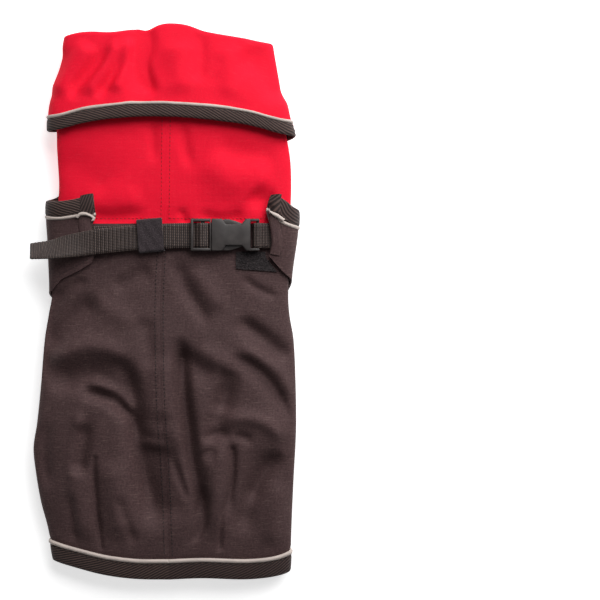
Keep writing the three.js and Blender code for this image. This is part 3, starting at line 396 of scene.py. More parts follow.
DART_LEFT = ((-53.8, -121.4), (-55.8, -126.6), (-54.6, -162.6), (-50.6, -198.8))
DART_RIGHT = ((52.8, -113.4), (55, -121.4), (53.6, -146.2), (46.2, -171), (43.8, -199))


def ramp(value: Array | float, start: float, end: float) -> Array:
    """Smooth step from 0 at start to 1 at end, which may be the smaller number."""
    t = np.clip((np.asarray(value, float) - start) / (end - start), 0, 1)
    return t * t * (3 - 2 * t)


def swell(distance: Array | float, width: float) -> Array:
    """Bell curve of a distance."""
    return np.exp(-((distance / width) ** 2))


def through(places: Array, values: Array, at: Array | float) -> Array:
    """Smooth curve through values that are given at rising places.

    Args:
        places: rising places, one for each value.
        values: values of the curve there.
        at: places to read the curve at.

    Returns:
        The curve's values, held at its ends.
    """
    at = np.asarray(at, float)
    slopes = np.empty_like(values)
    slopes[1:-1] = (values[2:] - values[:-2]) / (places[2:] - places[:-2])
    slopes[0] = (values[1] - values[0]) / (places[1] - places[0])
    slopes[-1] = (values[-1] - values[-2]) / (places[-1] - places[-2])
    i = np.clip(np.searchsorted(places, at, side="right") - 1, 0, len(places) - 2)
    span = places[i + 1] - places[i]
    t = np.clip((at - places[i]) / span, 0, 1)
    t2, t3 = t * t, t**3
    return (
        values[i] * (2 * t3 - 3 * t2 + 1)
        + slopes[i] * span * (t3 - 2 * t2 + t)
        + values[i + 1] * (3 * t2 - 2 * t3)
        + slopes[i + 1] * span * (t3 - t2)
    )


def smooth_line(points: Array, count: int) -> Array:
    """Centripetal curve through points, in equal steps.

    Args:
        points: one row for each point.
        count: how many points the result has.

    Returns:
        The points of the curve, one row each.
    """
    pts = np.asarray(points, float)
    padded = np.vstack([2 * pts[0] - pts[1], pts, 2 * pts[-1] - pts[-2]])
    dense: list[Array] = []
    for i in range(len(pts) - 1):
        p0, p1, p2, p3 = padded[i : i + 4]
        d0, d1, d2 = (max(np.linalg.norm(b - a) ** 0.5, 1e-6) for a, b in ((p0, p1), (p1, p2), (p2, p3)))
        m1 = ((p1 - p0) / d0 - (p2 - p0) / (d0 + d1) + (p2 - p1) / d1) * d1
        m2 = ((p2 - p1) / d1 - (p3 - p1) / (d1 + d2) + (p3 - p2) / d2) * d1
        t = np.linspace(0, 1, 24, endpoint=i == len(pts) - 2)[:, None]
        t2, t3 = t * t, t**3
        hermite = (2 * t3 - 3 * t2 + 1, t3 - 2 * t2 + t, 3 * t2 - 2 * t3, t3 - t2)
        dense.append(hermite[0] * p1 + hermite[1] * m1 + hermite[2] * p2 + hermite[3] * m2)
    return even_steps(np.vstack(dense), count)


def run(line: Array) -> Array:
    """Distance of each point from the first, along a line."""
    return np.concatenate([[0], np.cumsum(np.linalg.norm(np.diff(line, axis=0), axis=1))])


def even_steps(line: Array, count: int) -> Array:
    """Points of a line again, spread evenly along it."""
    far = run(line)
    steps = np.linspace(0, far[-1], count)
    return np.column_stack([np.interp(steps, far, values) for values in line.T])


@dataclass
class Relief:
    """Height map of the creases, read at places on the coat."""

    creases: tuple[Crease, ...] = ()
    step: float = 0.6
    low: Place = (-118.0, -236.0)
    high: Place = (118.0, 236.0)
    ripple: float = 0.0
    strength: float = 1.0
    seed: int = 3
    heights: Array = field(init=False)

    def __post_init__(self) -> None:
        """Works the map out once."""
        self.xs, self.ys = (np.arange(low, high, self.step) for low, high in zip(self.low, self.high))
        self.heights = self.ripples(len(self.ys), len(self.xs))
        for crease in self.creases:
            self.press(crease, self.xs, self.ys)

    def ripples(self, rows: int, columns: int) -> Array:
        """Low uneven swelling of cloth that lies slack."""
        draw = np.random.default_rng(self.seed)
        total = np.zeros((rows, columns))
        for cell, share in ((34.0, 2.2), (15.0, 1.0), (7.0, 0.35)):
            nodes_y = int(rows * self.step / cell) + 4
            nodes_x = int(columns * self.step / cell) + 4
            grid = draw.normal(size=(nodes_y, nodes_x))
            across = np.arange(columns) * self.step / cell
            down = np.arange(rows) * self.step / cell
            table = np.array([through(np.arange(nodes_x, dtype=float), row, across) for row in grid])
            nodes = np.arange(nodes_y, dtype=float)
            swelling = np.array([through(nodes, column, down) for column in table.T])
            total += share * self.ripple * swelling.T
        return total

    def press(self, crease: Crease, xs: Array, ys: Array) -> None:
        """Presses one crease into the map."""
        line = smooth_line(np.array(crease.line), 12 * len(crease.line))
        reach = 2.6 * crease.width
        columns = np.flatnonzero((xs > line[:, 0].min() - reach) & (xs < line[:, 0].max() + reach))
        rows = np.flatnonzero((ys > line[:, 1].min() - reach) & (ys < line[:, 1].max() + reach))
        if not len(columns) or not len(rows):
            return
        gx, gy = np.meshgrid(xs[columns], ys[rows])
        nearest = np.full(gx.shape, np.inf)
        where = np.zeros(gx.shape)
        turned = np.zeros(gx.shape)
        for i, (a, b) in enumerate(zip(line[:-1], line[1:])):
            along = b - a
            t = np.clip(((gx - a[0]) * along[0] + (gy - a[1]) * along[1]) / (along @ along), 0, 1)
            dx, dy = gx - a[0] - t * along[0], gy - a[1] - t * along[1]
            distance = np.hypot(dx, dy)
            closer = distance < nearest
            nearest = np.where(closer, distance, nearest)
            where = np.where(closer, (i + t) / (len(line) - 1), where)
            turned = np.where(closer, along[0] * dy - along[1] * dx, turned)
        width = np.where(turned < 0, crease.width * crease.steep, crease.width)
        fade = ramp(where, 0, crease.start) * ramp(where, 1, 1 - crease.end)
        self.heights[np.ix_(rows, columns)] -= self.strength * crease.depth * fade * swell(nearest, width)

    def at(self, x: Array, y: Array) -> Array:
        """Height of the relief at places."""
        return grid_value(self.heights, (x - self.low[0]) / self.step, (y - self.low[1]) / self.step)


def grid_value(table: Array, column: Array, row: Array) -> Array:
    """Value of a table between its rows and columns."""
    column = np.clip(column, 0, table.shape[1] - 1.001)
    row = np.clip(row, 0, table.shape[0] - 1.001)
    i, j = row.astype(int), column.astype(int)
    s, t = row - i, column - j
    upper = table[i, j] * (1 - t) + table[i, j + 1] * t
    lower = table[i + 1, j] * (1 - t) + table[i + 1, j + 1] * t
    return upper * (1 - s) + lower * s


class Sheet(Enum):
    """Way that the coat is unrolled: across its back or across its belly."""

    BACK = 1
    BELLY = -1

    @property
    def outward(self) -> int:
        """Sign that turns the sheet's own normal outwards."""
        return self.value


@dataclass
class CoatForm:
    """Outer face of the laid coat, which every piece is placed on.

    A place is a share of the half girth, across the back from its seam (u) or across the belly from its
    middle, and a length y.
    """

    crown_power: float = 2.5
    side_height: float = 0.48
    side_round: float = 17.0
    steps: int = 60
    pattern_girth: float = 200.0
    last_share: float = 1.35
    share_step: float = 0.0025
    row_step: float = 1.0
    first_row: float = -234.0
    last_row: float = 234.0
    slope_share: float = 0.004
    slope_reach: float = 0.8

    def __post_init__(self) -> None:
        """Works out the tables of the face once."""
        names = ("y", "left", "seam", "right", "crest", "floor")
        self.stations = {k: np.array([getattr(s, k) for s in STATIONS], float) for k in names}
        self.top_relief = Relief(BACK_CREASES, ripple=0.16, strength=2.0)
        self.under_relief = Relief(UNDER_CREASES, ripple=0.1, strength=1.5, seed=8)
        self.shares = np.arange(0, self.last_share, self.share_step)
        self.rows = np.arange(self.first_row, self.last_row, self.row_step)
        self.tables = {side: self.unrolled(side) for side in (-1, 1)}

    def value(self, name: str, y: Array | float) -> Array:
        """One of the stations' sizes at y."""
        return through(self.stations["y"], self.stations[name], y)

    def half_section(self, side: int, y: float) -> tuple[Array, Array, Array, Array]:
        """Section of one half at y.

        Args:
            side: -1 for the left half, 1 for the right half.
            y: place along the coat.

        Returns:
            x, z, how far up the crown each point is, and its distance from the back seam.
        """
        seam = float(self.value("seam", y))
        edge = float(self.value("right" if side > 0 else "left", y))
        crest, floor = float(self.value("crest", y)), float(self.value("floor", y))
        half = abs(edge - seam)
        waist = floor + self.side_height * (crest - floor)
        angle = np.linspace(0, math.pi / 2, self.steps + 1)
        lift = np.clip(np.cos(angle), 0, 1) ** (2 / self.crown_power)
        x = [seam + side * half * np.clip(np.sin(angle), 0, 1) ** (2 / self.crown_power)]
        z = [waist + (crest - waist) * lift]
        turn = np.linspace(0, math.pi / 2, self.steps // 2 + 1)[1:]
        x.append(seam + side * (half - self.side_round * (1 - np.cos(turn))))
        z.append(waist - (waist - floor) * np.sin(turn))
        x.append(np.array([seam]))
        z.append(np.array([floor]))
        xs, zs = np.concatenate(x), np.concatenate(z)
        ups = np.concatenate([lift, np.zeros(len(turn) + 1)])
        return xs, zs, ups, run(np.column_stack([xs, zs]))

    def unrolled(self, side: int) -> dict[str, Array]:
        """Tables of x, z, crown share and girth of one half, a row for each y."""
        found: dict[str, list[Array]] = {"x": [], "z": [], "up": [], "girth": []}
        for y in self.rows:
            xs, zs, ups, girth = self.half_section(side, float(y))
            reach = self.shares * girth[-1]
            past = np.maximum(reach - girth[-1], 0)
            found["x"].append(np.interp(reach, girth, xs) - side * past)
            found["z"].append(np.interp(reach, girth, zs))
            found["up"].append(np.interp(reach, girth, ups))
            found["girth"].append(np.array([girth[-1]]))
        return {k: np.array(v) for k, v in found.items()}

    def girth(self, side: Array, y: Array) -> Array:
        """Half girth on a side at y."""
        row = np.clip((np.asarray(y, float) - self.first_row) / self.row_step, 0, len(self.rows) - 1)
        index = np.arange(len(self.rows))
        left = np.interp(row, index, self.tables[-1]["girth"][:, 0])
        right = np.interp(row, index, self.tables[1]["girth"][:, 0])
        return np.where(np.asarray(side) < 0, left, right)

    def smooth_place(self, sheet: Sheet, u: Array, y: Array) -> tuple[Array, Array, Array]:
        """x, z and crown share on the form without creases."""
        share = np.abs(u) if sheet is Sheet.BACK else 1 - np.abs(u)
        row = (y - self.first_row) / self.row_step
        column = share / self.share_step
        result = []
        for key in ("x", "z", "up"):
            left = grid_value(self.tables[-1][key], column, row)
            right = grid_value(self.tables[1][key], column, row)
            result.append(np.where(u < 0, left, right))
        return result[0], result[1], result[2]

    def place(self, sheet: Sheet, u: Array, y: Array) -> Array:
        """Points of the outer face with its creases, one row each."""
        x, z, up = self.smooth_place(sheet, u, y)
        over = self.top_relief.at(x, y) * ramp(up, 0.05, 0.5)
        below = self.under_relief.at(x, y) * ramp(z - self.value("floor", y), 4.0, 0.4)
        return np.column_stack([x, y, z + over - below])

    def lifted(self, sheet: Sheet, u: Array, y: Array, lift: Array | float) -> Array:
        """Points that stand off the outer face.

        Args:
            sheet: which way the coat is unrolled.
            u: share of the half girth.
            y: place along the coat.
            lift: how far out each point stands.

        Returns:
            The points, one row each, never below the surface that the coat lies on.
        """
        u, y = np.asarray(u, float), np.asarray(y, float)
        du, dy = self.slope_share, self.slope_reach
        across = self.place(sheet, u + du, y) - self.place(sheet, u - du, y)
        along = self.place(sheet, u, y + dy) - self.place(sheet, u, y - dy)
        normal = np.cross(across, along)
        normal *= sheet.outward / np.linalg.norm(normal, axis=1)[:, None]
        points = self.place(sheet, u, y) + normal * np.asarray(lift, float).reshape(-1, 1)
        points[:, 2] = np.maximum(points[:, 2], 0)
        return points

    def unroll(self, sheet: Sheet, side: int, point: EdgePoint) -> Place:
        """Place on an unrolled sheet of a point of the upper or under side."""
        xs, _, _, girth = self.half_section(side, point.y)
        seam = float(self.value("seam", point.y))
        reach = side * (point.x - seam)
        out = side * (xs - seam)
        widest = self.steps
        if point.face is Face.TOP:
            share = float(np.interp(reach, out[: widest + 1], girth[: widest + 1])) / girth[-1]
        elif reach < 0:
            share = 1 - reach / girth[-1]
        else:
            share = float(np.interp(-reach, -out[widest:], girth[widest:])) / girth[-1]
        return side * (share if sheet is Sheet.BACK else 1 - share), point.y

    def edge(self, sheet: Sheet, side: int, points: Sequence[EdgePoint], count: int) -> Array:
        """Smooth edge through points on an unrolled sheet, as rows of u and y."""
        flat = []
        for point in points:
            turned = side if side else (-1 if point.x < 2 else 1)
            u, y = self.unroll(sheet, turned, point)
            flat.append((u * self.pattern_girth, y))
        line = smooth_line(np.array(flat), count)
        return np.column_stack([line[:, 0] / self.pattern_girth, line[:, 1]])

    def beside(self, line: Array, distance: float) -> Array:
        """Line at a distance to the left of another, on the cloth."""
        girth = self.girth(line[:, 0], line[:, 1])
        tangent = np.gradient(line, axis=0)
        tangent[:, 0] *= girth
        tangent /= np.linalg.norm(tangent, axis=1)[:, None]
        shift = np.column_stack([-tangent[:, 1] * distance / girth, tangent[:, 0] * distance])
        return line + shift

    def crown(self, x: float, y: float) -> float:
        """Height of the back at a place on its upper side."""
        side = -1 if x < float(self.value("seam", y)) else 1
        u, _ = self.unroll(Sheet.BACK, side, EdgePoint(Face.TOP, x, y))
        return float(self.place(Sheet.BACK, np.array([u]), np.array([float(y)]))[0, 2])


def flap_lift(side: int) -> Lift:
    """Lift of a body half: the right flap lies under the left one near its free edge."""
    rise = FLAP_RISE if side > 0 else 0.0
    return lambda u, y: -rise * ramp(u, 0.78, 0.93)


def linear(colour: str) -> tuple[float, float, float, float]:
    """Linear colour of an sRGB hex value."""
    parts = [int(colour[i : i + 2], 16) / 255 for i in (0, 2, 4)]
    r, g, b = (c / 12.92 if c <= 0.04045 else ((c + 0.055) / 1.055) ** 2.4 for c in parts)
    return (r, g, b, 1.0)


def repeats(pitch: float) -> float:
    """Repeats for each metre of a pattern with a pitch in millimetres."""
    return 1000.0 / pitch


def bands(pitch: float) -> float:
    """Scale of a wave texture for bands with a pitch in millimetres: it has 20 / tau bands for each unit."""
    return repeats(pitch) * math.tau / 20


@dataclass
class Brush:
    """Adds the nodes of one material, and lays its colours and bumps one over the other."""

    tree: bpy.types.NodeTree
    colour: Socket | tuple[float, float, float, float]
    normal: Socket | None = None

    def set(self, **values: object) -> None:
        """Sets constants on the shader's own sockets, an underscore for each space."""
        for name, value in values.items():
            self.tree.nodes["Principled BSDF"].inputs[name.replace("_", " ")].default_value = value

    def feed(self, name: str, source: Socket) -> None:
        """Feeds one of the shader's sockets."""
        self.tree.links.new(source, self.tree.nodes["Principled BSDF"].inputs[name])

    def add(self, kind: str, settings: dict[str, object], links: dict[str | int, object]) -> bpy.types.Node:
        """Adds one node.

        Args:
            kind: type of the node.
            settings: its properties, or its inputs' values by name.
            links: its inputs by name or index, and the socket or value that feeds each.

        Returns:
            The node.
        """
        node = self.tree.nodes.new(kind)
        for key, value in settings.items():
            if key in node.inputs:
                node.inputs[key].default_value = value
            else:
                setattr(node, key, value)
        for key, source in links.items():
            if isinstance(source, Socket):
                self.tree.links.new(source, node.inputs[key])
            else:
                node.inputs[key].default_value = source
        return node

    def cloth(self, across: float, along: float, turn: float = 0.0) -> Socket:
        """Cloth coordinates in repeats: the UV map is in metres, and each scale is repeats for each metre."""
        place = self.add("ShaderNodeTexCoord", {}, {})
        settings = {"Scale": (across, along, 1.0), "Rotation": (0.0, 0.0, turn)}
        return self.add("ShaderNodeMapping", settings, {"Vector": place.outputs["UV"]}).outputs["Vector"]

    def wave(
        self, axis: str, place: Socket, distortion: float = 0.0, detail: float = 1.0,
        detail_scale: float = 1.0,
    ) -> Socket:
        """Soft bands across one axis."""
        settings = {
            "Scale": 1.0, "bands_direction": axis, "Distortion": distortion, "Detail": detail,
            "Detail Scale": detail_scale,
        }
        return self.add("ShaderNodeTexWave", settings, {"Vector": place}).outputs["Fac"]

    def noise(
        self, across: float, along: float, detail: float = 2.0, roughness: float = 0.5,
        distortion: float = 0.0,
    ) -> Socket:
        """Speckle of the cloth, its spots sized in millimetres across and along."""
        settings = {"Scale": 1.0, "Detail": detail, "Roughness": roughness, "Distortion": distortion}
        place = self.cloth(repeats(across), repeats(along))
        return self.add("ShaderNodeTexNoise", settings, {"Vector": place}).outputs["Fac"]

    def grit(self, size: float, detail: float) -> Socket:
        """Speckle in the object's own space, its spots sized in millimetres."""
        place = self.add("ShaderNodeTexCoord", {}, {})
        settings = {"Scale": repeats(size), "Detail": detail}
        return self.add("ShaderNodeTexNoise", settings, {"Vector": place.outputs["Object"]}).outputs["Fac"]

    def both(self, first: Socket, second: Socket) -> Socket:
        """Where two patterns meet."""
        return self.add("ShaderNodeMath", {"operation": "MULTIPLY"}, {0: first, 1: second}).outputs["Value"]

    def scaled(self, source: Socket, low: float, high: float, to_low: float, to_high: float) -> Socket:
        """A value moved from one range to another and held inside it."""
        settings = {"From Min": low, "From Max": high, "To Min": to_low, "To Max": to_high}
        return self.add("ShaderNodeMapRange", settings, {"Value": source}).outputs["Result"]

    def stain(self, source: Socket, low: float, high: float, share: float, colour: str) -> None:
        """Lays a colour over what is there, from none at the low value to a share at the high one."""
        amount = self.scaled(source, low, high, 0.0, share)
        settings = {"data_type": "RGBA", "blend_type": "MIX", "clamp_factor": True}
        node = self.add("ShaderNodeMix", settings, {0: amount, 6: self.colour, 7: linear(colour)})
        self.colour = node.outputs[2]
        self.feed("Base Color", self.colour)

    def bump(self, height: Socket, strength: float, distance: float) -> None:
        """Lays a bump over what is there, its height in millimetres."""
        links = {"Height": height} if self.normal is None else {"Height": height, "Normal": self.normal}
        settings = {"Strength": strength, "Distance": distance * MM}
        self.normal = self.add("ShaderNodeBump", settings, links).outputs["Normal"]
        self.feed("Normal", self.normal)


@dataclass(frozen=True)
class Finish:
    """Look of one real material, made as a node material."""

    name: str
    colour: str
    roughness: float
    gloss: float = 0.5
    sheen: float = 0.0

    def build(self) -> bpy.types.Material:
        """The material, made once."""
        found = bpy.data.materials.get(self.name)
        if found:
            return found
        material = bpy.data.materials.new(self.name)
        material.use_nodes = True
        brush = Brush(material.node_tree, linear(self.colour))
        brush.set(Roughness=self.roughness, Specular_IOR_Level=self.gloss, Sheen_Weight=self.sheen)
        brush.set(Base_Color=linear(self.colour))
        self.dress(brush)
        return material

    def dress(self, brush: Brush) -> None:
        """Adds what is special to the finish."""


@dataclass(frozen=True)
class WovenShell(Finish):
    """Softshell: polyester plain weave, dull, with slubs where a weft thread swells."""

    gloss: float = 0.3
    sheen: float = 0.25
    slub_colour: str = "7c6f6c"
    dark_colour: str = "2c2626"
    slub_share: float = 0.55
    grain: float = 0.55
    thread: float = 0.95

    def dress(self, brush: Brush) -> None:
        """Weave, slubs and mottling. The threads are drawn about twice as coarse as real, to show."""
        pitch = bands(self.thread)
        weft, warp = (brush.wave(axis, brush.cloth(pitch, pitch), 1.2, 2.0, 1.5) for axis in ("Y", "X"))
        slub = brush.noise(9.0, 0.8, 2.0, 0.6)
        speck = brush.noise(1.5, 1.3, 3.0, 0.7)
        brush.stain(speck, 0.3, 0.72, self.grain, self.dark_colour)
        brush.stain(slub, 0.56, 0.78, self.slub_share, self.slub_colour)
        brush.stain(brush.noise(0.9, 7.0, 2.0, 0.6), 0.58, 0.8, self.slub_share * 0.6, self.slub_colour)
        brush.stain(brush.noise(60.0, 60.0), 0.35, 0.7, 0.16, self.dark_colour)
        brush.bump(brush.both(weft, warp), 0.5, 0.22)
        brush.bump(slub, 0.35, 0.25)
        brush.bump(speck, 0.4, 0.3)
        brush.set(Sheen_Roughness=0.45, Sheen_Tint=linear(self.slub_colour))


@dataclass(frozen=True)
class TwillTape(Finish):
    """Polyester twill tape: ribs that run at a low angle along it, each with a painted highlight along its
    top.
    """

    gloss: float = 0.3
    sheen: float = 0.12
    rib_highlight_colour: str = "5c4742"
    slant: float = 1.17
    pitch: float = 1.9

    def dress(self, brush: Brush) -> None:
        """Diagonal ribs, drawn a little coarser than real: a bump, and a painted highlight in the paler rib
        colour.
        """
        pitch = bands(self.pitch)
        rib = brush.wave("X", brush.cloth(pitch, pitch, self.slant), 0.5, 1.0, 3.0)
        yarn = brush.noise(0.7, 0.7, 2.0, 0.6)
        # painted highlight: the ribs are stained paler where light would catch their tops
        brush.stain(rib, 0.35, 0.95, 0.8, self.rib_highlight_colour)
        brush.stain(yarn, 0.4, 0.75, 0.5, self.colour)
        brush.bump(rib, 0.7, 0.45)
        brush.bump(yarn, 0.4, 0.2)


@dataclass(frozen=True)
class ReflectivePiping(Finish):
    """Retroreflective piping: pale film of glass beads on a bias strip, cross-ribbed where it bends."""

    gloss: float = 0.45
    shade_colour: str = "9a8f8a"

    def dress(self, brush: Brush) -> None:
        """Fine cross ribs and a little soiling."""
        brush.stain(brush.noise(14.0, 5.0, 3.0), 0.4, 0.75, 0.6, self.shade_colour)
        brush.bump(brush.wave("X", brush.cloth(bands(1.4), repeats(30.0)), 1.5), 0.25, 0.1)


@dataclass(frozen=True)
class Fleece(Finish):
    """Brushed heather fleece: light and dark fibres in small curls."""

    gloss: float = 0.15
    sheen: float = 0.5
    light_colour: str = "c9c4c8"
    dark_colour: str = "6e6b70"

    def dress(self, brush: Brush) -> None:
        """Heather fibres, drawn as coarse as they need to show."""
        curls = brush.noise(1.6, 1.6, 4.0, 0.75, 1.2)
        clumps = brush.noise(4.5, 4.5, 3.0)
        brush.stain(curls, 0.45, 0.68, 0.9, self.light_colour)
        brush.stain(clumps, 0.5, 0.72, 0.7, self.dark_colour)
        brush.bump(clumps, 0.6, 1.0)
        brush.bump(curls, 0.8, 0.6)


@dataclass(frozen=True)
class RibbedWebbing(Finish):
    """Polypropylene webbing: dark rows of yarn with paler dots where the weft floats over."""

    gloss: float = 0.4
    dot_colour: str = "8d776d"
    pitch: float = 2.9

    def dress(self, brush: Brush) -> None:
        """Rows of yarn dots along each rib."""
        rows = brush.wave("X", brush.cloth(bands(self.pitch / 2), 0.0))
        dots = brush.wave("Y", brush.cloth(bands(self.pitch), bands(1.25)), 0.8)
        yarn = brush.noise(0.8, 0.8)
        floats = brush.both(rows, dots)
        brush.stain(floats, 0.35, 0.9, 0.85, self.dot_colour)
        brush.stain(yarn, 0.42, 0.7, 0.55, self.colour)
        brush.bump(floats, 0.6, 0.35)
        brush.bump(yarn, 0.4, 0.2)


@dataclass(frozen=True)
class Pile(Finish):
    """Hook or loop tape: matt nylon ground with a fine pile."""

    gloss: float = 0.2
    sheen: float = 0.2
    light_colour: str = "5a545c"
    pitch: float = 1.1

    def dress(self, brush: Brush) -> None:
        """Speckle of the pile."""
        pile = brush.noise(self.pitch, self.pitch, 3.0, 0.7)
        brush.stain(pile, 0.45, 0.72, 0.8, self.light_colour)
        brush.bump(pile, 0.7, 0.4)


@dataclass(frozen=True)
class Moulded(Finish):
    """Moulded acetal or rubber: a fine spark texture that breaks the gloss, and paler rubbed spots."""

    rubbed_colour: str = "6b6560"
    spark: float = 0.5

    def dress(self, brush: Brush) -> None:
        """Spark texture and rubbed places."""
        rubbed = brush.grit(9.0, 3.0)
        brush.stain(rubbed, 0.45, 0.75, 0.5, self.rubbed_colour)
        brush.feed("Roughness", brush.scaled(rubbed, 0.3, 0.7, self.roughness - 0.07, self.roughness + 0.08))
        brush.bump(brush.grit(self.spark, 2.0), 0.35, 0.06)


@dataclass(frozen=True)
class Thread(Finish):
    """Polyester sewing thread, twisted, with a slight gloss."""

    gloss: float = 0.4

    def dress(self, brush: Brush) -> None:
        """Twist of the thread as a fine noise."""
        brush.bump(brush.grit(0.5, 1.0), 0.3, 0.1)


@dataclass(frozen=True)
class Backdrop(Finish):
    """Matt white board that gives back enough light to read as plain paper."""

    gloss: float = 0.1

    def dress(self, brush: Brush) -> None:
        """Its own faint light."""
        brush.set(Emission_Color=linear("ffffff"), Emission_Strength=0.6)


CHARCOAL = WovenShell(
    "softshell_charcoal", "584040", 0.78, slub_colour="836c66", dark_colour="251819", slub_share=0.45,
    grain=0.78,
)
RED = WovenShell(
    "softshell_red", "fa0c32", 0.78, 0.2, 0.08, slub_colour="ff4855", dark_colour="d60425", slub_share=0.26,
    grain=0.36,
)
# the tapes' rib colours are painted highlights on the rib tops
TWILL = TwillTape("twill_tape_black", "231817", 0.8)
TWILL_BACK = TwillTape("twill_tape_black_wrong_side", "261b1a", 0.8, rib_highlight_colour="665049", slant=-1.13)
REFLECTIVE = ReflectivePiping("glass_bead_film", "c4b6ae", 0.55)
HEATHER = Fleece("heather_fleece", "9c989d", 0.95)
STRAP = RibbedWebbing("polypropylene_webbing", "221918", 0.62)
HOOK = Pile("nylon_hook_tape", "2d2528", 0.85, light_colour="50474a")
LOOP = Pile("nylon_loop_tape", "292425", 0.9, light_colour="4a4142", pitch=1.6)
ACETAL = Moulded("moulded_acetal", "363130", 0.46, rubbed_colour="4c4644")
RUBBER = Moulded("satin_rubber", "3a3331", 0.55, rubbed_colour="453d3a", spark=0.9)
DARK_THREAD = Thread("sewing_thread_black", "1f1919", 0.6)
RED_THREAD = Thread("sewing_thread_red", "b8041f", 0.6)
PAPER = Backdrop("studio_floor", "f7f7f7", 0.9)


def object_from(bm: Mesh, name: str, finish: Finish) -> Piece:
    """Makes an object of a mesh whose vertices are in millimetres, at the origin and in metres.

    Args:
        bm: the mesh, which is freed.
        name: name of the piece.
        finish: its material.

    Returns:
        The object, shaded smooth up to its cut edges.
    """
    bmesh.ops.scale(bm, vec=(MM, MM, MM), verts=bm.verts)
    for edge in bm.edges:
        if edge.is_boundary:
            edge.smooth = False
    mesh = bpy.data.meshes.new(name)
    bm.to_mesh(mesh)
    bm.free()
    mesh.shade_smooth()
    mesh.materials.append(finish.build())
    piece = bpy.data.objects.new(name, mesh)
    bpy.context.scene.collection.objects.link(piece)
    return piece


def settle(piece: Piece, slot: str, *nodes: str) -> Piece:
    """Puts a piece on the coat's body, hides the model parts that it stands for, and logs its face count."""
    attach(piece, BODY)
    if nodes:
        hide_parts(*nodes)
    LOG.info("%s: %d faces", piece.name, len(piece.data.polygons))
    return piece


def thicken(piece: Piece, thickness: float, rounded: float = 0.0) -> Piece:
    """Gives a sheet its thickness on its inner side, with soft cut edges where asked."""
    wall = piece.modifiers.new("wall", "SOLIDIFY")
    wall.thickness = thickness * MM
    wall.offset = -1.0
    if rounded:
        soft = piece.modifiers.new("edge", "BEVEL")
        soft.width = rounded * MM
        soft.segments = 2
        soft.limit_method = "ANGLE"
        soft.angle_limit = SHARP_ANGLE
    return piece


def write_uv(bm: Mesh, places: Array) -> None:
    """Writes each vertex's place on the cloth, in millimetres, to the UV map in metres."""
    layer = bm.loops.layers.uv.verify()
    bm.verts.index_update()
    for face in bm.faces:
        for loop in face.loops:
            loop[layer].uv = places[loop.vert.index] * MM


def move_to(bm: Mesh, points: Array) -> None:
    """Moves each vertex to its point."""
    for vert, point in zip(bm.verts, points):
        vert.co = point


def skin(rows: Sequence[Array], places: Sequence[Array]) -> tuple[Mesh, list[int]]:
    """Grid of cloth laid through rows of points.

    Args:
        rows: the points of each row.
        places: where each row lies on the flat cloth.

    Returns:
        The mesh, and its vertices' indices row by row.
    """
    bm = bmesh.new()
    bmesh.ops.create_grid(bm, x_segments=len(rows[0]) - 1, y_segments=len(rows) - 1, size=1.0)
    bm.verts.ensure_lookup_table()
    spots = np.round([v.co[:2] for v in bm.verts], 5)
    order = np.lexsort((spots[:, 0], spots[:, 1]))
    rank = np.argsort(order)
    write_uv(bm, np.vstack(places)[rank])
    move_to(bm, np.vstack(rows)[rank])
    return bm, order.tolist()


def join_up(bm: Mesh, capped: bool = True) -> None:
    """Closes a skin round to a tube, fills its ends where asked and turns its faces outwards."""
    bmesh.ops.remove_doubles(bm, verts=bm.verts, dist=WELD)
    if capped:
        bmesh.ops.holes_fill(bm, edges=[e for e in bm.edges if e.is_boundary], sides=0)
    bmesh.ops.recalc_face_normals(bm, faces=bm.faces[:])


def rounded_corners(left: float, right: float, low: float, high: float, radius: float) -> list[Place]:
    """Corners of an upright rectangle, each rounded in four steps."""
    west, east, south, north = left + radius, right - radius, low + radius, high - radius
    ring = []
    for x, y, first in ((east, south, -90), (east, north, 0), (west, north, 90), (west, south, 180)):
        for k in range(5):
            angle = math.radians(first + 90 * k / 4)
            ring.append((x + radius * math.cos(angle), y + radius * math.sin(angle)))
    return ring


@dataclass(frozen=True)
class Stitch:
    """Machine stitch: from one to the next, its own length and the thickness of its thread."""

    pitch: float
    length: float
    thick: float


PLAIN_STITCH = Stitch(3.1, 2.1, 0.55)
HEM_STITCH = Stitch(3.1, 2.2, 0.7)
DART_STITCH = Stitch(2.2, 2.4, 0.6)
YOKE_STITCH = Stitch(3.2, 2.2, 0.75)
LABEL_STITCH = Stitch(2.3, 1.6, 0.4)


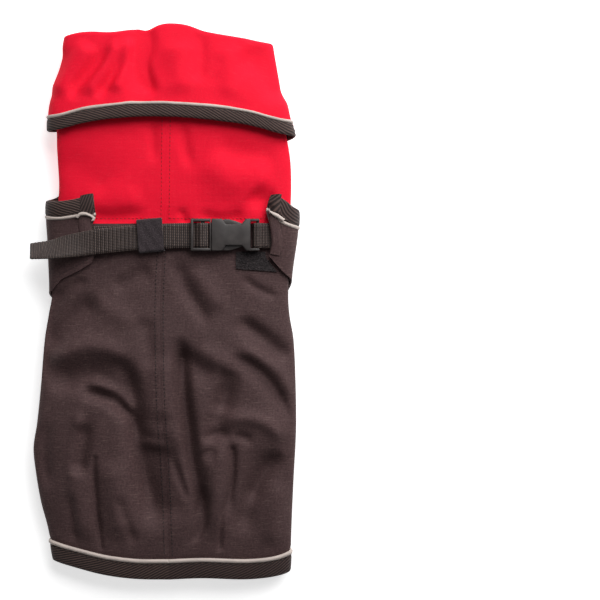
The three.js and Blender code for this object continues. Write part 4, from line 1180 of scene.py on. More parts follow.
@dataclass
class Tailor:
    """Cuts flat patterns and lays them on the coat's form."""

    form: CoatForm
    grid: float = 3.0

    def panel(
        self, name: str, sheet: Sheet, outline: Array, lift: Lift, finish: Finish, grid: float | None = None,
        relief: Relief | None = None,
    ) -> Piece:
        """Panel of cloth cut to an outline.

        Args:
            name: name of the piece.
            sheet: which way the coat is unrolled.
            outline: rows of u and y round the panel.
            lift: how far its outer face stands off the form.
            finish: its material.
            grid: size of its cells, in millimetres.
            relief: height of its nap, besides the form's creases.

        Returns:
            The panel as a single face of cloth, its normals outwards.
        """
        size = grid or self.grid
        girth = self.form.pattern_girth
        flat = outline * (girth, 1.0)
        bm = bmesh.new()
        bm.faces.new([bm.verts.new((x, y, 0)) for x, y in flat])
        bm.normal_update()
        if bm.faces[:][0].normal.z < 0:
            bmesh.ops.reverse_faces(bm, faces=bm.faces[:])
        for axis, normal in ((1, Vector((0, 1, 0))), (0, Vector((1, 0, 0)))):
            first, last = flat[:, axis].min(), flat[:, axis].max()
            for mark in np.arange(first + size * 0.6, last - size * 0.3, size):
                everything = bm.verts[:] + bm.edges[:] + bm.faces[:]
                bmesh.ops.bisect_plane(
                    bm, geom=everything, dist=CUT_SNAP, plane_co=normal * float(mark), plane_no=normal
                )
        bmesh.ops.remove_doubles(bm, verts=bm.verts, dist=SHORTEST_EDGE)
        bmesh.ops.subdivide_edges(bm, edges=bm.edges[:], cuts=1, use_grid_fill=True)
        spots = np.array([v.co[:2] for v in bm.verts])
        u, y = spots[:, 0] / girth, spots[:, 1]
        heights = lift(u, y)
        if relief is not None:
            x, _, _ = self.form.smooth_place(sheet, u, y)
            heights = heights + relief.at(x, y)
        write_uv(bm, spots)
        move_to(bm, self.form.lifted(sheet, u, y, heights))
        if sheet is Sheet.BELLY:
            bmesh.ops.reverse_faces(bm, faces=bm.faces[:])
        return object_from(bm, name, finish)

    def swept(
        self, name: str, sheet: Sheet, line: Array, profile: list[Place], lift: Lift, finish: Finish,
        side: int = 1, closed: bool = False,
    ) -> Piece:
        """Trim that runs along a line of the cloth with one profile.

        Args:
            name: name of the piece.
            sheet: which way the coat is unrolled.
            line: rows of u and y along the cloth's edge.
            profile: rows of distance in from the edge and lift.
            lift: how far the cloth under it stands off the form.
            finish: its material.
            side: 1 where the cloth lies to the left of the line, -1 to its right.
            closed: whether the profile is closed round.

        Returns:
            The trim as one skin, its normals outwards.
        """
        ring = np.array([*profile, profile[0]] if closed else profile)
        far = run(line * (self.form.pattern_girth, 1.0))
        rows, places = [], []
        for (distance, rise), across in zip(ring, run(ring)):
            shifted = self.form.beside(line, side * distance)
            rows.append(self.form.lifted(sheet, *shifted.T, lift(*shifted.T) + rise))
            places.append(np.column_stack([far, np.full(len(line), across)]))
        bm, order = skin(rows, places)
        if closed:
            join_up(bm)
            return object_from(bm, name, finish)
        bmesh.ops.recalc_face_normals(bm, faces=bm.faces[:])
        fold, middle = int(np.argmin(ring[:, 0])), len(line) // 2
        bm.verts.ensure_lookup_table()
        bm.normal_update()
        outwards = Vector(rows[fold][middle] - rows[0][middle])
        if bm.verts[order[fold * len(line) + middle]].normal.dot(outwards) < 0:
            bmesh.ops.reverse_faces(bm, faces=bm.faces[:])
        return object_from(bm, name, finish)

    def tape(
        self, name: str, sheet: Sheet, line: Array, profile: list[Place], lift: Lift, finish: Finish,
        side: int, node: str | None = None,
    ) -> Piece:
        """Twill tape folded over an edge, settled on the coat."""
        piece = thicken(self.swept(name, sheet, line, profile, lift, finish, side), TAPE)
        return settle(piece, "twill_binding", *([node] if node else []))

    def cord(
        self, name: str, sheet: Sheet, line: Array, profile: list[Place], lift: Lift, side: int,
        node: str | None = None,
    ) -> Piece:
        """Pale piping beside an edge, settled on the coat."""
        piece = self.swept(name, sheet, line, profile, lift, REFLECTIVE, side, True)
        return settle(piece, "reflective_piping", *([node] if node else []))

    def stitches(
        self, name: str, rows: Sequence[tuple[Sheet, Array, Lift]], finish: Finish,
        stitch: Stitch = PLAIN_STITCH, slot: str = "twill_binding",
    ) -> Piece:
        """Rows of machine stitches, each stitch a small rounded bead of thread.

        Args:
            name: name of the piece.
            rows: for each row its sheet, its line of u and y, and the lift of the cloth it lies on.
            finish: the thread.
            stitch: its gauge.
            slot: slot of the cloth that it holds; not used.

        Returns:
            All the stitches as one piece, settled on the coat.
        """
        spans = []
        for sheet, line, lift in rows:
            path = self.form.lifted(sheet, *line.T, lift(*line.T) + THREAD_RISE)
            far = run(path)
            for start in np.arange(0.5, far[-1] - stitch.length, stitch.pitch):
                ends = (start, start + stitch.length)
                head, tail = (np.array([np.interp(s, far, values) for values in path.T]) for s in ends)
                spans.append((head, tail, stitch.thick))
        return settle(beads(name, spans, finish), slot)


def beads(name: str, spans: Sequence[tuple[Array, Array, float]], finish: Finish) -> Piece:
    """Piece of rounded beads of thread, one for each start, end and thickness."""
    shape = bmesh.new()
    bmesh.ops.create_uvsphere(shape, u_segments=6, v_segments=4, radius=0.5)
    mesh = bpy.data.meshes.new("bead")
    shape.to_mesh(mesh)
    spots = np.array([v.co for v in shape.verts])
    shape.free()
    bm = bmesh.new()
    placed = []
    for start, end, thick in spans:
        bm.from_mesh(mesh)
        along = Vector(end) - Vector(start)
        turn = np.array(along.to_track_quat("Z", "Y").to_matrix())
        middle = (np.asarray(start) + np.asarray(end)) / 2
        placed.append(spots * (thick, thick, along.length) @ turn.T + middle)
    move_to(bm, np.vstack(placed))
    bpy.data.meshes.remove(mesh)
    return object_from(bm, name, finish)


def clear_of(line: Array, other: Array, distance: float, form: CoatForm) -> Array:
    """Points of a line that keep their distance to another line, so that an offset line has no loops."""
    girth = form.girth(line[:, 0], line[:, 1])
    near = [np.hypot((other[:, 0] - u) * g, other[:, 1] - y).min() for (u, y), g in zip(line, girth)]
    slack = 0.97
    return line[np.array(near) > distance * slack]


def flat_lift(value: float) -> Lift:
    """The same lift everywhere."""
    return lambda u, y: np.full(np.shape(u), value)


def plus(lift: Lift, more: float) -> Lift:
    """A lift and a little more."""
    return lambda u, y: lift(u, y) + more


def tucked(lift: Lift, line: Array, form: CoatForm, depth: float = 1.0, width: float = 2.0) -> Lift:
    """A lift that dips beside a line, where the cloth is sewn in under a piping."""

    def dip(u: Array, y: Array) -> Array:
        girth = form.girth(u, y)
        near = np.full(len(u), np.inf)
        for edge_u, edge_y in line:
            near = np.minimum(near, np.hypot((u - edge_u) * girth, y - edge_y))
        return lift(u, y) - depth * swell(near, width)

    return dip


def tape_profile(width: float, low: float, high: float) -> list[Place]:
    """Profile of a tape folded over an edge, from its sewn edge below round the fold to the one above."""
    middle = (low + high) / 2
    return [
        (width, low + 0.35), (width * 0.8, low), (width * 0.45, low), (1.6, low), (0.5, low + 0.35),
        (0.0, middle), (0.5, high - 0.35), (1.6, high), (width * 0.45, high + 0.1), (width * 0.8, high),
        (width - 0.7, high - 0.25), (width, high - 0.7),
    ]


def cord_profile(distance: float, radius: float, centre: float, sides: int = 10) -> list[Place]:
    """Round profile of a piping."""
    angles = [2 * math.pi * k / sides for k in range(sides)]
    return [(distance + radius * math.cos(a), centre + radius * math.sin(a)) for a in angles]


@dataclass
class BodyHalf:
    """Charcoal body half with its fleece, hem binding and piping."""

    tailor: Tailor
    side: int
    points: tuple[EdgePoint, ...]
    dart_points: tuple[Place, ...]
    lining_reach: float = 0.66
    lining_top: float = -104.8

    @property
    def word(self) -> str:
        """Left or right."""
        return "left" if self.side < 0 else "right"

    def build(self) -> None:
        """Makes and dresses all of the half's pieces."""
        form, side, word = self.tailor.form, self.side, self.word
        trim = HEM_BINDING + SEAM
        edge = form.edge(Sheet.BACK, side, self.points, 260)
        self.pin_ends(edge)
        cloth_edge = form.beside(edge, side * (trim + PIPING))
        cloth_edge = clear_of(cloth_edge, edge, trim + PIPING, form)
        self.pin_ends(cloth_edge)
        outline = np.vstack([cloth_edge, [side * HALF_SEAM, YOKE_SEAM_Y]])
        lift = flap_lift(side)
        panel = self.tailor.panel(
            f"body_panel_{word}", Sheet.BACK, outline, tucked(lift, cloth_edge, form), CHARCOAL
        )
        settle(thicken(panel, CLOTH), "shell_charcoal", f"back_{word}")
        tape = tape_profile(HEM_BINDING, -CLOTH, TRIM_RISE)
        binding = self.tailor.tape(
            f"hem_tape_{word}", Sheet.BACK, edge, tape, lift, TWILL if side > 0 else TWILL_BACK, side,
            f"hem_binding_{word}",
        )
        cord = cord_profile(trim + PIPING / 2 + 0.2, 1.75, -0.1)
        piping = self.tailor.cord(
            f"hem_cord_{word}", Sheet.BACK, edge, cord, lift, side, f"hem_piping_{word}"
        )
        trims = [binding, piping, self.sewing(edge), self.dart()]
        lining = self.lining(cloth_edge)

    def pin_ends(self, line: Array) -> None:
        """Pins a line's ends to the back seam and to the seam with the yoke."""
        line[0, 0] = self.side * HALF_SEAM
        line[-1, 1] = YOKE_SEAM_Y

    def lining(self, cloth_edge: Array) -> Piece:
        """Fleece inside the hem end of the half, with small curls and a ridge at its seam."""
        reach = self.side * self.lining_reach
        shares, along = np.abs(cloth_edge[:, 0]), cloth_edge[:, 1]
        bottom = cloth_edge[(shares < self.lining_reach) & (along < self.lining_top)]
        outline = np.vstack([
            bottom, [reach, bottom[-1, 1]], [reach, self.lining_top],
            [self.side * HALF_SEAM, self.lining_top],
        ])
        curls = Relief()
        off_seam = curls.xs[None, :] - self.tailor.form.value("seam", curls.ys)[:, None]
        nap = np.random.default_rng(5).normal(size=curls.heights.shape) * 0.16
        curls.heights = nap - 0.9 * swell(off_seam, 1.8)
        piece = self.tailor.panel(
            f"lining_fleece_{self.word}", Sheet.BACK, outline, flat_lift(-CLOTH - SEAM), HEATHER, 2.0, curls
        )
        return settle(thicken(piece, FLEECE), "fleece", f"lining_{self.word}")

    def sewing(self, edge: Array) -> Piece:
        """Stitch rows beside the back seam and on the hem tape."""
        form, side = self.tailor.form, self.side
        lift = flap_lift(side)
        seam_y = np.linspace(YOKE_SEAM_Y - 3, -204, 90)
        drift = np.interp(seam_y, [-204, 60], [3.0, 2.2] if side > 0 else [-3.4, -4.4])
        seam_u = drift / form.girth(np.full(len(seam_y), side), seam_y)
        on_tape = form.beside(edge, side * (HEM_BINDING - 1.6))
        rows = [
            (Sheet.BACK, np.column_stack([seam_u, seam_y]), lift),
            (Sheet.BACK, on_tape, plus(lift, TRIM_RISE - 0.35)),
        ]
        return self.tailor.stitches(f"body_sewing_{self.word}", rows, DARK_THREAD, HEM_STITCH)

    def dart(self) -> Piece:
        """Closely sewn seam of the dart that draws the hem in."""
        line = self.tailor.form.edge(Sheet.BACK, self.side, top(*self.dart_points), 60)
        row = (Sheet.BACK, line, plus(flap_lift(self.side), -0.25))
        return self.tailor.stitches(f"dart_seam_{self.word}", [row], DARK_THREAD, DART_STITCH)


@dataclass
class Yoke:
    """Red shoulder piece of two halves with stitch rows along their seam."""

    tailor: Tailor

    def build(self) -> None:
        """Makes both halves and their sewing."""
        form = self.tailor.form
        low, high = YOKE_SEAM_Y + 0.05, NECK_SEAM_Y - SEAM / 2
        for word, side in (("left", -1), ("right", 1)):
            points = [EdgePoint(Face.UNDER, side * x, y) for x, y in YOKE_ARMHOLE]
            armhole = np.array([form.unroll(Sheet.BACK, side, point) for point in points])
            armhole[0, 1] = low
            armhole[-1, 1] = high
            outline = np.vstack([[side * HALF_SEAM, low], armhole, [side * HALF_SEAM, high]])
            panel = self.tailor.panel(f"yoke_panel_{word}", Sheet.BACK, outline, flat_lift(0.0), RED)
            settle(thicken(panel, CLOTH), "shell_red", f"yoke_{word}")
            sewing = self.sewing(side, word)

    def sewing(self, side: int, word: str) -> Piece:
        """Stitches beside the centre seam and above the seam to the body."""
        form = self.tailor.form
        seam_y = np.linspace(YOKE_SEAM_Y + 3, 152, 60)
        seam_u = (2.9 if side > 0 else -3.6) / form.girth(np.full(60, side), seam_y)
        across = np.linspace(0.01, 0.62, 90) * side
        lines = [(seam_u, seam_y), (across, np.full(90, YOKE_SEAM_Y + 4.2))]
        rows = [(Sheet.BACK, np.column_stack(line), flat_lift(0.0)) for line in lines]
        return self.tailor.stitches(f"yoke_sewing_{word}", rows, RED_THREAD, YOKE_STITCH, "shell_red")


@dataclass
class Collar:
    """Turned-down collar with its binding and piping."""

    tailor: Tailor
    columns: int = 240
    leg_steps: int = 16
    turn_steps: int = 12
    fall_steps: int = 40
    fullness: float = 1.0

    def __post_init__(self) -> None:
        """Works out its edge lines."""
        form = self.tailor.form
        self.relief = Relief(COLLAR_CREASES, ripple=0.12, strength=1.6, seed=11)
        self.line = form.edge(Sheet.BACK, 0, COLLAR_EDGE, 260)
        self.cloth_line = form.beside(self.line, COLLAR_BINDING + SEAM + PIPING * 0.7)

    def gap(self, u: Array, y: Array) -> Array:
        """Gap between the fall of the collar and the cloth under it."""
        x, z, _ = self.tailor.form.smooth_place(Sheet.BACK, u, y)
        stand = FOLD_GAP + self.fullness + COLLAR_STAND * ramp(y, 200, 150)
        upper = np.where(u > 0, ramp(z, 9, 19), ramp(z, 8, 16))
        return SEAM + np.logaddexp(0, 1.5 * (stand - SEAM + self.relief.at(x, y))) / 1.5 * upper

    def turn(self, u: Array) -> Array:
        """Height of the crest of the turn."""
        x, z, _ = self.tailor.form.smooth_place(Sheet.BACK, u, np.full(len(u), 206.0))
        rows = np.array(COLLAR_TURN, float)
        crest = through(rows[:, 0], rows[:, 1], x)
        return UNDER_TURN_Y + (crest - UNDER_TURN_Y) * ramp(z, 6, 15)

    def build(self) -> None:
        """Makes the cloth, the tape, the piping and the sewing."""
        form, tailor = self.tailor.form, self.tailor
        shell = settle(thicken(self.cloth(), CLOTH), "shell_red", "collar")
        profile = tape_profile(COLLAR_BINDING, 0.0, TRIM_THICK)
        tape = tailor.tape(
            "collar_tape", Sheet.BACK, self.line, profile, self.gap, TWILL_BACK, 1, "collar_binding"
        )
        profile = cord_profile(COLLAR_BINDING + SEAM + PIPING / 2, 1.3, TRIM_THICK - 0.8)
        piping = tailor.cord("collar_cord", Sheet.BACK, self.line, profile, self.gap, 1, "collar_piping")
        sewn = [(Sheet.BACK, form.beside(self.line, COLLAR_BINDING - 1.5), plus(self.gap, TRIM_THICK - 0.3))]
        sewing = tailor.stitches("collar_sewing", sewn, DARK_THREAD)

    def cloth(self) -> Piece:
        """The red cloth: up from the neck seam, over the turn and down outside."""
        form = self.tailor.form
        us = np.linspace(self.cloth_line[0, 0], self.cloth_line[-1, 0], self.columns)
        turn = self.turn(us)
        radius = (self.gap(us, turn - 4) + CLOTH) / 2
        start = NECK_SEAM_Y + SEAM / 2
        crest = turn - radius - CLOTH / 2
        order = np.argsort(self.cloth_line[:, 0])
        end = np.interp(us, self.cloth_line[order, 0], self.cloth_line[order, 1])
        end = np.minimum(end, crest - 2)
        outer: list[tuple[Array, Array | float]] = []
        for t in np.linspace(0, 1, self.leg_steps, endpoint=False):
            outer.append((start + (crest - start) * t, -CLOTH))
        for angle in np.linspace(0, math.pi, self.turn_steps):
            out, up = math.sin(angle), -math.cos(angle)
            outer.append((crest + (radius + CLOTH / 2) * out, radius * (1 + up) + CLOTH / 2 * (up - 1)))
        for t in np.linspace(0, 1, self.fall_steps)[1:]:
            y = crest + (end - crest) * t
            outer.append((y, self.gap(us, y) + CLOTH))
        rows = [form.lifted(Sheet.BACK, us, y, lift + np.zeros(len(us))) for y, lift in outer]
        steps = np.linalg.norm(np.diff(rows, axis=0), axis=2)
        far = np.vstack([np.zeros(len(us)), np.cumsum(steps, axis=0)])
        bm, _ = skin(rows, [np.column_stack([us * form.pattern_girth, distance]) for distance in far])
        bmesh.ops.reverse_faces(bm, faces=bm.faces[:])
        return object_from(bm, "collar_shell", RED)


@dataclass
class ChestPanel:
    """Charcoal chest panel with its two wings, bound armholes and elastic casing."""

    tailor: Tailor

    def flare(self, u: Array, y: Array) -> Array:
        """How far the wings stand off the waist."""
        x, z, _ = self.tailor.form.smooth_place(Sheet.BELLY, u, y)
        total = np.zeros(np.shape(u))
        for place in FLARES:
            distance = np.hypot(x - place.x, z - place.z)
            total = total + place.height * swell(distance, place.across) * swell(y - place.y, place.along)
        return total * ramp(z, 5, 14)

    def panel_lift(self, u: Array, y: Array, height: Array | float) -> Array:
        """Lift of the panel: its own height above the surface below, and off the waist on the wings."""
        _, z, _ = self.tailor.form.smooth_place(Sheet.BELLY, u, y)
        floor = self.tailor.form.value("floor", y)
        below = ramp(z - floor, 4, 0)
        wing = WING_REST + 1.8 - height + self.flare(u, y)
        return wing + (floor - height - wing) * below

    def outer(self, u: Array, y: Array) -> Array:
        """Lift of the panel's outer face."""
        middle = ramp(np.abs(u), 0.34, 0.14) * ramp(y, 214, 196)
        return self.panel_lift(u, y, SAG * (1 - middle))

    def edge_lift(self, u: Array, y: Array) -> Array:
        """Lift of the bound edges."""
        return self.panel_lift(u, y, 0.0)

    def build(self) -> None:
        """Makes the panel, its bindings, pipings and sewing."""
        form, tailor = self.tailor.form, self.tailor
        lines, inner = {}, {}
        for word, side, points in (("right", 1, ARMHOLE_RIGHT), ("left", -1, ARMHOLE_LEFT)):
            lines[word] = form.edge(Sheet.BELLY, side, points, 170)
            offset = form.beside(lines[word], side * (TRIM_EDGE + PIPING))
            inner[word] = clear_of(offset, lines[word], TRIM_EDGE + PIPING, form)
        outline = np.vstack([
            self.placed(WING_LEFT_END), self.placed(BELLY_EDGE), self.placed(WING_RIGHT_END), inner["right"],
            self.placed(CHEST_TOP), inner["left"][::-1],
        ])
        panel = tailor.panel("chest_shell", Sheet.BELLY, outline, self.outer, CHARCOAL)
        settle(thicken(panel, CLOTH, 0.35), "shell_charcoal", "chest_panel")
        trims = [self.sewing(lines)]
        tape = tape_profile(BINDING, -TRIM_THICK, 0.0)
        cord = cord_profile(TRIM_EDGE + PIPING / 2, 1.4, -0.9)
        for word, side, finish in (("right", 1, TWILL), ("left", -1, TWILL_BACK)):
            trims.append(tailor.tape(
                f"armhole_tape_{word}", Sheet.BELLY, lines[word], tape, self.edge_lift, finish, side,
                f"armhole_binding_{word}",
            ))
            trims.append(tailor.cord(
                f"armhole_cord_{word}", Sheet.BELLY, lines[word], cord, self.edge_lift, side,
                f"armhole_piping_{word}",
            ))
        trims += self.end_hem("left", -1, WING_HEM_LEFT, TWILL)
        trims += self.end_hem("right", 1, WING_HEM_RIGHT, TWILL_BACK)

    def placed(self, points: Sequence[EdgePoint]) -> Array:
        """Points of the outline on the unrolled belly."""
        return np.array([self.tailor.form.unroll(Sheet.BELLY, -1 if p.x < 1 else 1, p) for p in points])

    def end_hem(self, word: str, side: int, hem: WingHem, finish: Finish) -> list[Piece]:
        """Folded hem at a wing's end: its tape part, its cloth part and the piping that loops over it."""
        form, tailor = self.tailor.form, self.tailor
        lines = [form.edge(Sheet.BELLY, side, top(*line), 44) for line in (hem.tape, hem.cloth, hem.piping)]
        tape = tailor.tape(
            f"wing_hem_tape_{word}", Sheet.BELLY, lines[0], tape_profile(hem.width, -TRIM_THICK - 0.4, 0.9),
            self.edge_lift, finish, -side,
        )
        cloth = tailor.swept(
            f"wing_hem_fold_{word}", Sheet.BELLY, lines[1], tape_profile(hem.width, -CLOTH - 0.5, 1.1),
            self.outer, CHARCOAL, -side,
        )
        settle(thicken(cloth, 0.6), "shell_charcoal")
        cord = tailor.cord(
            f"wing_hem_cord_{word}", Sheet.BELLY, lines[2], cord_profile(0.0, 1.35, 1.3), self.edge_lift, 1
        )
        return [tape, cloth, cord]

    def sewing(self, lines: dict[str, Array]) -> Piece:
        """Stitches on the tapes, the elastic casing and the wings' hems."""
        form = self.tailor.form
        on_tape = plus(self.edge_lift, -0.3)
        rows = [
            (Sheet.BELLY, form.beside(lines[word], side * (BINDING - 1.5)), on_tape)
            for word, side in (("right", 1), ("left", -1))
        ]
        across = np.linspace(-0.44, 0.44, 150)
        rows += [(Sheet.BELLY, np.column_stack([across, np.full(150, y)]), self.outer) for y in (7.6, 24.0)]
        for side, points in (
            (-1, ((-65.6, 66), (-66, 52), (-65.5, 36))),
            (-1, ((-60, 34), (-70, 28.6), (-84, 21.6))),
            (1, ((91.4, 62), (91, 48), (91.6, 33))),
        ):
            rows.append((Sheet.BELLY, form.edge(Sheet.BELLY, side, top(*points), 30), self.outer))
        return self.tailor.stitches("chest_sewing", rows, DARK_THREAD)


@dataclass
class Belt:
    """Webbing, keeper and buckle on the back."""

    tailor: Tailor
    rib_pitch: float = 2.9
    rib_height: float = 0.55
    lower_run: float = 1.3
    upper_run: float = 3.05
    over_bar: float = 6.5

    def __post_init__(self) -> None:
        """Seats the buckle on the crown, tilted as the cloth under it is."""
        form = self.tailor.form
        self.middle = (BUCKLE_LEFT + BUCKLE_RIGHT) / 2
        low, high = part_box("buckle_housing")
        fall = form.crown(BUCKLE_LEFT, BUCKLE_Y) - form.crown(BUCKLE_RIGHT, BUCKLE_Y)
        self.tilt = math.atan2(fall, BUCKLE_RIGHT - BUCKLE_LEFT)
        self.rest = form.crown(self.middle, BUCKLE_Y) + 0.5
        LOG.info("buckle rests at %.1f, frame says %.1f to %.1f", self.rest, low.z / MM, high.z / MM)

    def on_buckle(self, x: float, z: float, y: float = STRAP_Y) -> Point:
        """A place of the flat buckle, tilted with it."""
        turned_x = self.middle + (x - self.middle) * math.cos(self.tilt) + z * math.sin(self.tilt)
        turned_z = self.rest - (x - self.middle) * math.sin(self.tilt) + z * math.cos(self.tilt)
        return turned_x, y, turned_z

    def above(self, x: float, y: float, lift: float) -> Point:
        """A place over the back."""
        return x, y, self.tailor.form.crown(x, y) + lift

    def half_turn(self, x: float, steps: int, sign: int) -> list[Point]:
        """Half turn of the webbing round a bar."""
        radius = (self.over_bar - self.lower_run) / 2
        angles = [math.pi * (k / steps - 0.5) for k in range(steps + 1)]
        middle = self.lower_run + radius
        return [
            self.on_buckle(x + sign * radius * math.cos(a), middle + radius * math.sin(a)) for a in angles
        ]

    def build(self) -> None:
        """Makes the webbing, the keeper and the buckle."""
        left = self.left_webbing()
        right = self.right_webbing()
        keeper = self.keeper()
        for piece, node, length in ((left, "webbing_left", 0.29), (right, "webbing_right", 0.045)):
            settle(piece, "webbing", node)
        settle(keeper, "hook_fabric", "keeper")
        Buckle(self).build()

    def left_webbing(self) -> Piece:
        """Left length: out from under the wing, round the cross bar, back over the wing to its free tail."""
        above = self.above
        stations = [
            (*above(-64, 50.2, 1.0), 0), (*above(-52, 50.6, 1.2), 0), (*above(-38, 51, 2.3), 0),
            (*above(-21, 51.6, 2.9), 0), (*above(0, 52.4, 2.9), 0), (*self.on_buckle(18, self.lower_run), 0),
        ]
        stations += [(*p, 0) for p in self.half_turn(32.2, 8, 1)]
        for x, z in ((29, self.over_bar), (26.6, 5.0), (24.2, 3.4), (20.5, self.upper_run)):
            stations.append((*self.on_buckle(x, z), 0))
        stations += [
            (*above(0, 52.4, 4.6), 0), (*above(-21, 51.2, 4.6), 0), (*above(-34, 50, 5.0), 0),
            (*above(-46, 48.8, 6.0), 0), (*above(-58, 47.4, 6.6), 3), (*above(-68, 45.8, 8.0), 14),
            (*above(-78, 44.2, 9.8), 25), (*above(-87, 42.6, 12.0), 36), (-97, 41.4, 28.0, 46),
            (-106.9, 40.6, 26.4, 52),
        ]
        return self.band("strap_webbing_left", stations)

    def right_webbing(self) -> Piece:
        """Right length: doubled round the end bar, both layers under the right wing."""
        above = self.above
        stations = [
            (*above(89, STRAP_Y, 1.1), 0), (*above(84, STRAP_Y, 1.3), 0),
            (*self.on_buckle(78, self.lower_run), 0),
        ]
        stations += [(*p, 0) for p in self.half_turn(73.6, 8, -1)]
        stations += [(*self.on_buckle(x, z), 0) for x, z in ((76.2, 5.9), (78.6, 3.8))]
        stations += [(*above(84, STRAP_Y, 3.2), 0), (*above(89, STRAP_Y, 2.8), 0)]
        return self.band("strap_webbing_right", stations)

    def band(self, name: str, stations: Sequence[tuple[float, ...]]) -> Piece:
        """Webbing through stations of x, y, z and roll in degrees, with its cross ribs.

        Args:
            name: name of the piece.
            stations: the middle of the band and its roll about its own line.

        Returns:
            A closed band.
        """
        rough = smooth_line(np.array(stations), 40 * len(stations))
        length = float(np.linalg.norm(np.diff(rough[:, :3], axis=0), axis=1).sum())
        line = even_steps(rough, int(length / (self.rib_pitch / 8)))
        centres = line[:, :3]
        tangent = np.gradient(centres, axis=0)
        tangent[:, 1] = 0
        tangent /= np.linalg.norm(tangent, axis=1)[:, None]
        rise = np.column_stack([-tangent[:, 2], np.zeros(len(line)), tangent[:, 0]])
        lean = np.radians(line[:, 3])[:, None]
        across = np.array([0, 1, 0]) * np.cos(lean) + rise * np.sin(lean)
        out = np.cross(tangent, across)
        across = across + tangent * (0.25 * ramp(lean, math.radians(30), math.radians(52)))
        far = np.linspace(0, length, len(line))
        rib = self.rib_height * (np.abs(np.sin(math.pi * far / self.rib_pitch)) ** 0.6 - 0.6)
        half, thick = WEBBING_WIDTH / 2, WEBBING / 2
        inner = np.linspace(-half + 0.35, half - 0.35, 9)
        under_side = [(w, -thick) for w in inner]
        upper_side = [(w, thick) for w in inner[::-1]]
        rows, places = [], []
        for w, t in [(-half, 0.0), *under_side, (half, 0.0), *upper_side, (-half, 0.0)]:
            grown = (np.sign(t) * rib)[:, None] if t else 0.0
            rows.append(centres + across * w + out * (t + grown))
            places.append(np.column_stack([far, np.full(len(line), w if t >= 0 else -w)]))
        bm, _ = skin(rows, places)
        join_up(bm)
        return object_from(bm, name, STRAP)

    def keeper(self) -> Piece:
        """Tab of hook cloth closed round both runs, with a doubled edge and a few frayed hooks."""
        low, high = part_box("keeper")
        centre = (Vector(low) + Vector(high)) / 2 / MM
        base = low.z / MM
        half_width, half_length, height, corner = 10.0, 13.3, 6.9, 1.6
        turn = math.radians(5.0)
        ring = rounded_corners(-half_length, half_length, 0.0, height, corner)
        outline = even_steps(np.array([*ring, ring[0]]), 72)
        xs = np.linspace(-half_width, half_width, 26)
        doubled = 0.45 * ramp(xs, 4.6 - half_width, 3.8 - half_width)
        rows, places = [], []
        for (y, z), far in zip(outline, run(outline)):
            wave = 0.18 * np.sin(xs * 0.7 + y * 0.4) * (z > height * 0.8)
            rows.append(np.column_stack([
                centre.x + xs * math.cos(turn) - y * math.sin(turn),
                centre.y + xs * math.sin(turn) + y * math.cos(turn),
                base + z + doubled * (z > height / 2) + wave,
            ]))
            places.append(np.column_stack([xs, np.full(len(xs), far)]))
        bm, _ = skin(rows, places)
        join_up(bm, capped=False)
        piece = thicken(object_from(bm, "keeper_tab", HOOK), 1.1, 0.3)
        self.frayed_hooks(centre, base)
        return piece

    def frayed_hooks(self, centre: Vector, base: float) -> None:
        """Loose hooks and threads that stick out under the keeper's lower edge."""
        draw = random.Random(4)
        spans = []
        for _ in range(90):
            x = centre.x - 8.5 + 18 * draw.random()
            y = centre.y - 12.2 + 0.8 * draw.random() + (x - centre.x) * 0.09
            z = base + 1.0 + 3.0 * draw.random()
            start = Vector((x, y, z))
            bend = start + Vector((draw.uniform(-0.8, 0.8), -draw.uniform(0.6, 1.5), draw.uniform(-0.4, 0.6)))
            tip = bend + Vector((draw.uniform(-0.9, 0.9), -draw.uniform(-0.2, 0.9), draw.uniform(-0.6, 0.4)))
            spans += [(start, bend, 0.32), (bend, tip, 0.26)]
        settle(beads("keeper_frayed_hooks", spans, HOOK), "hook_fabric")


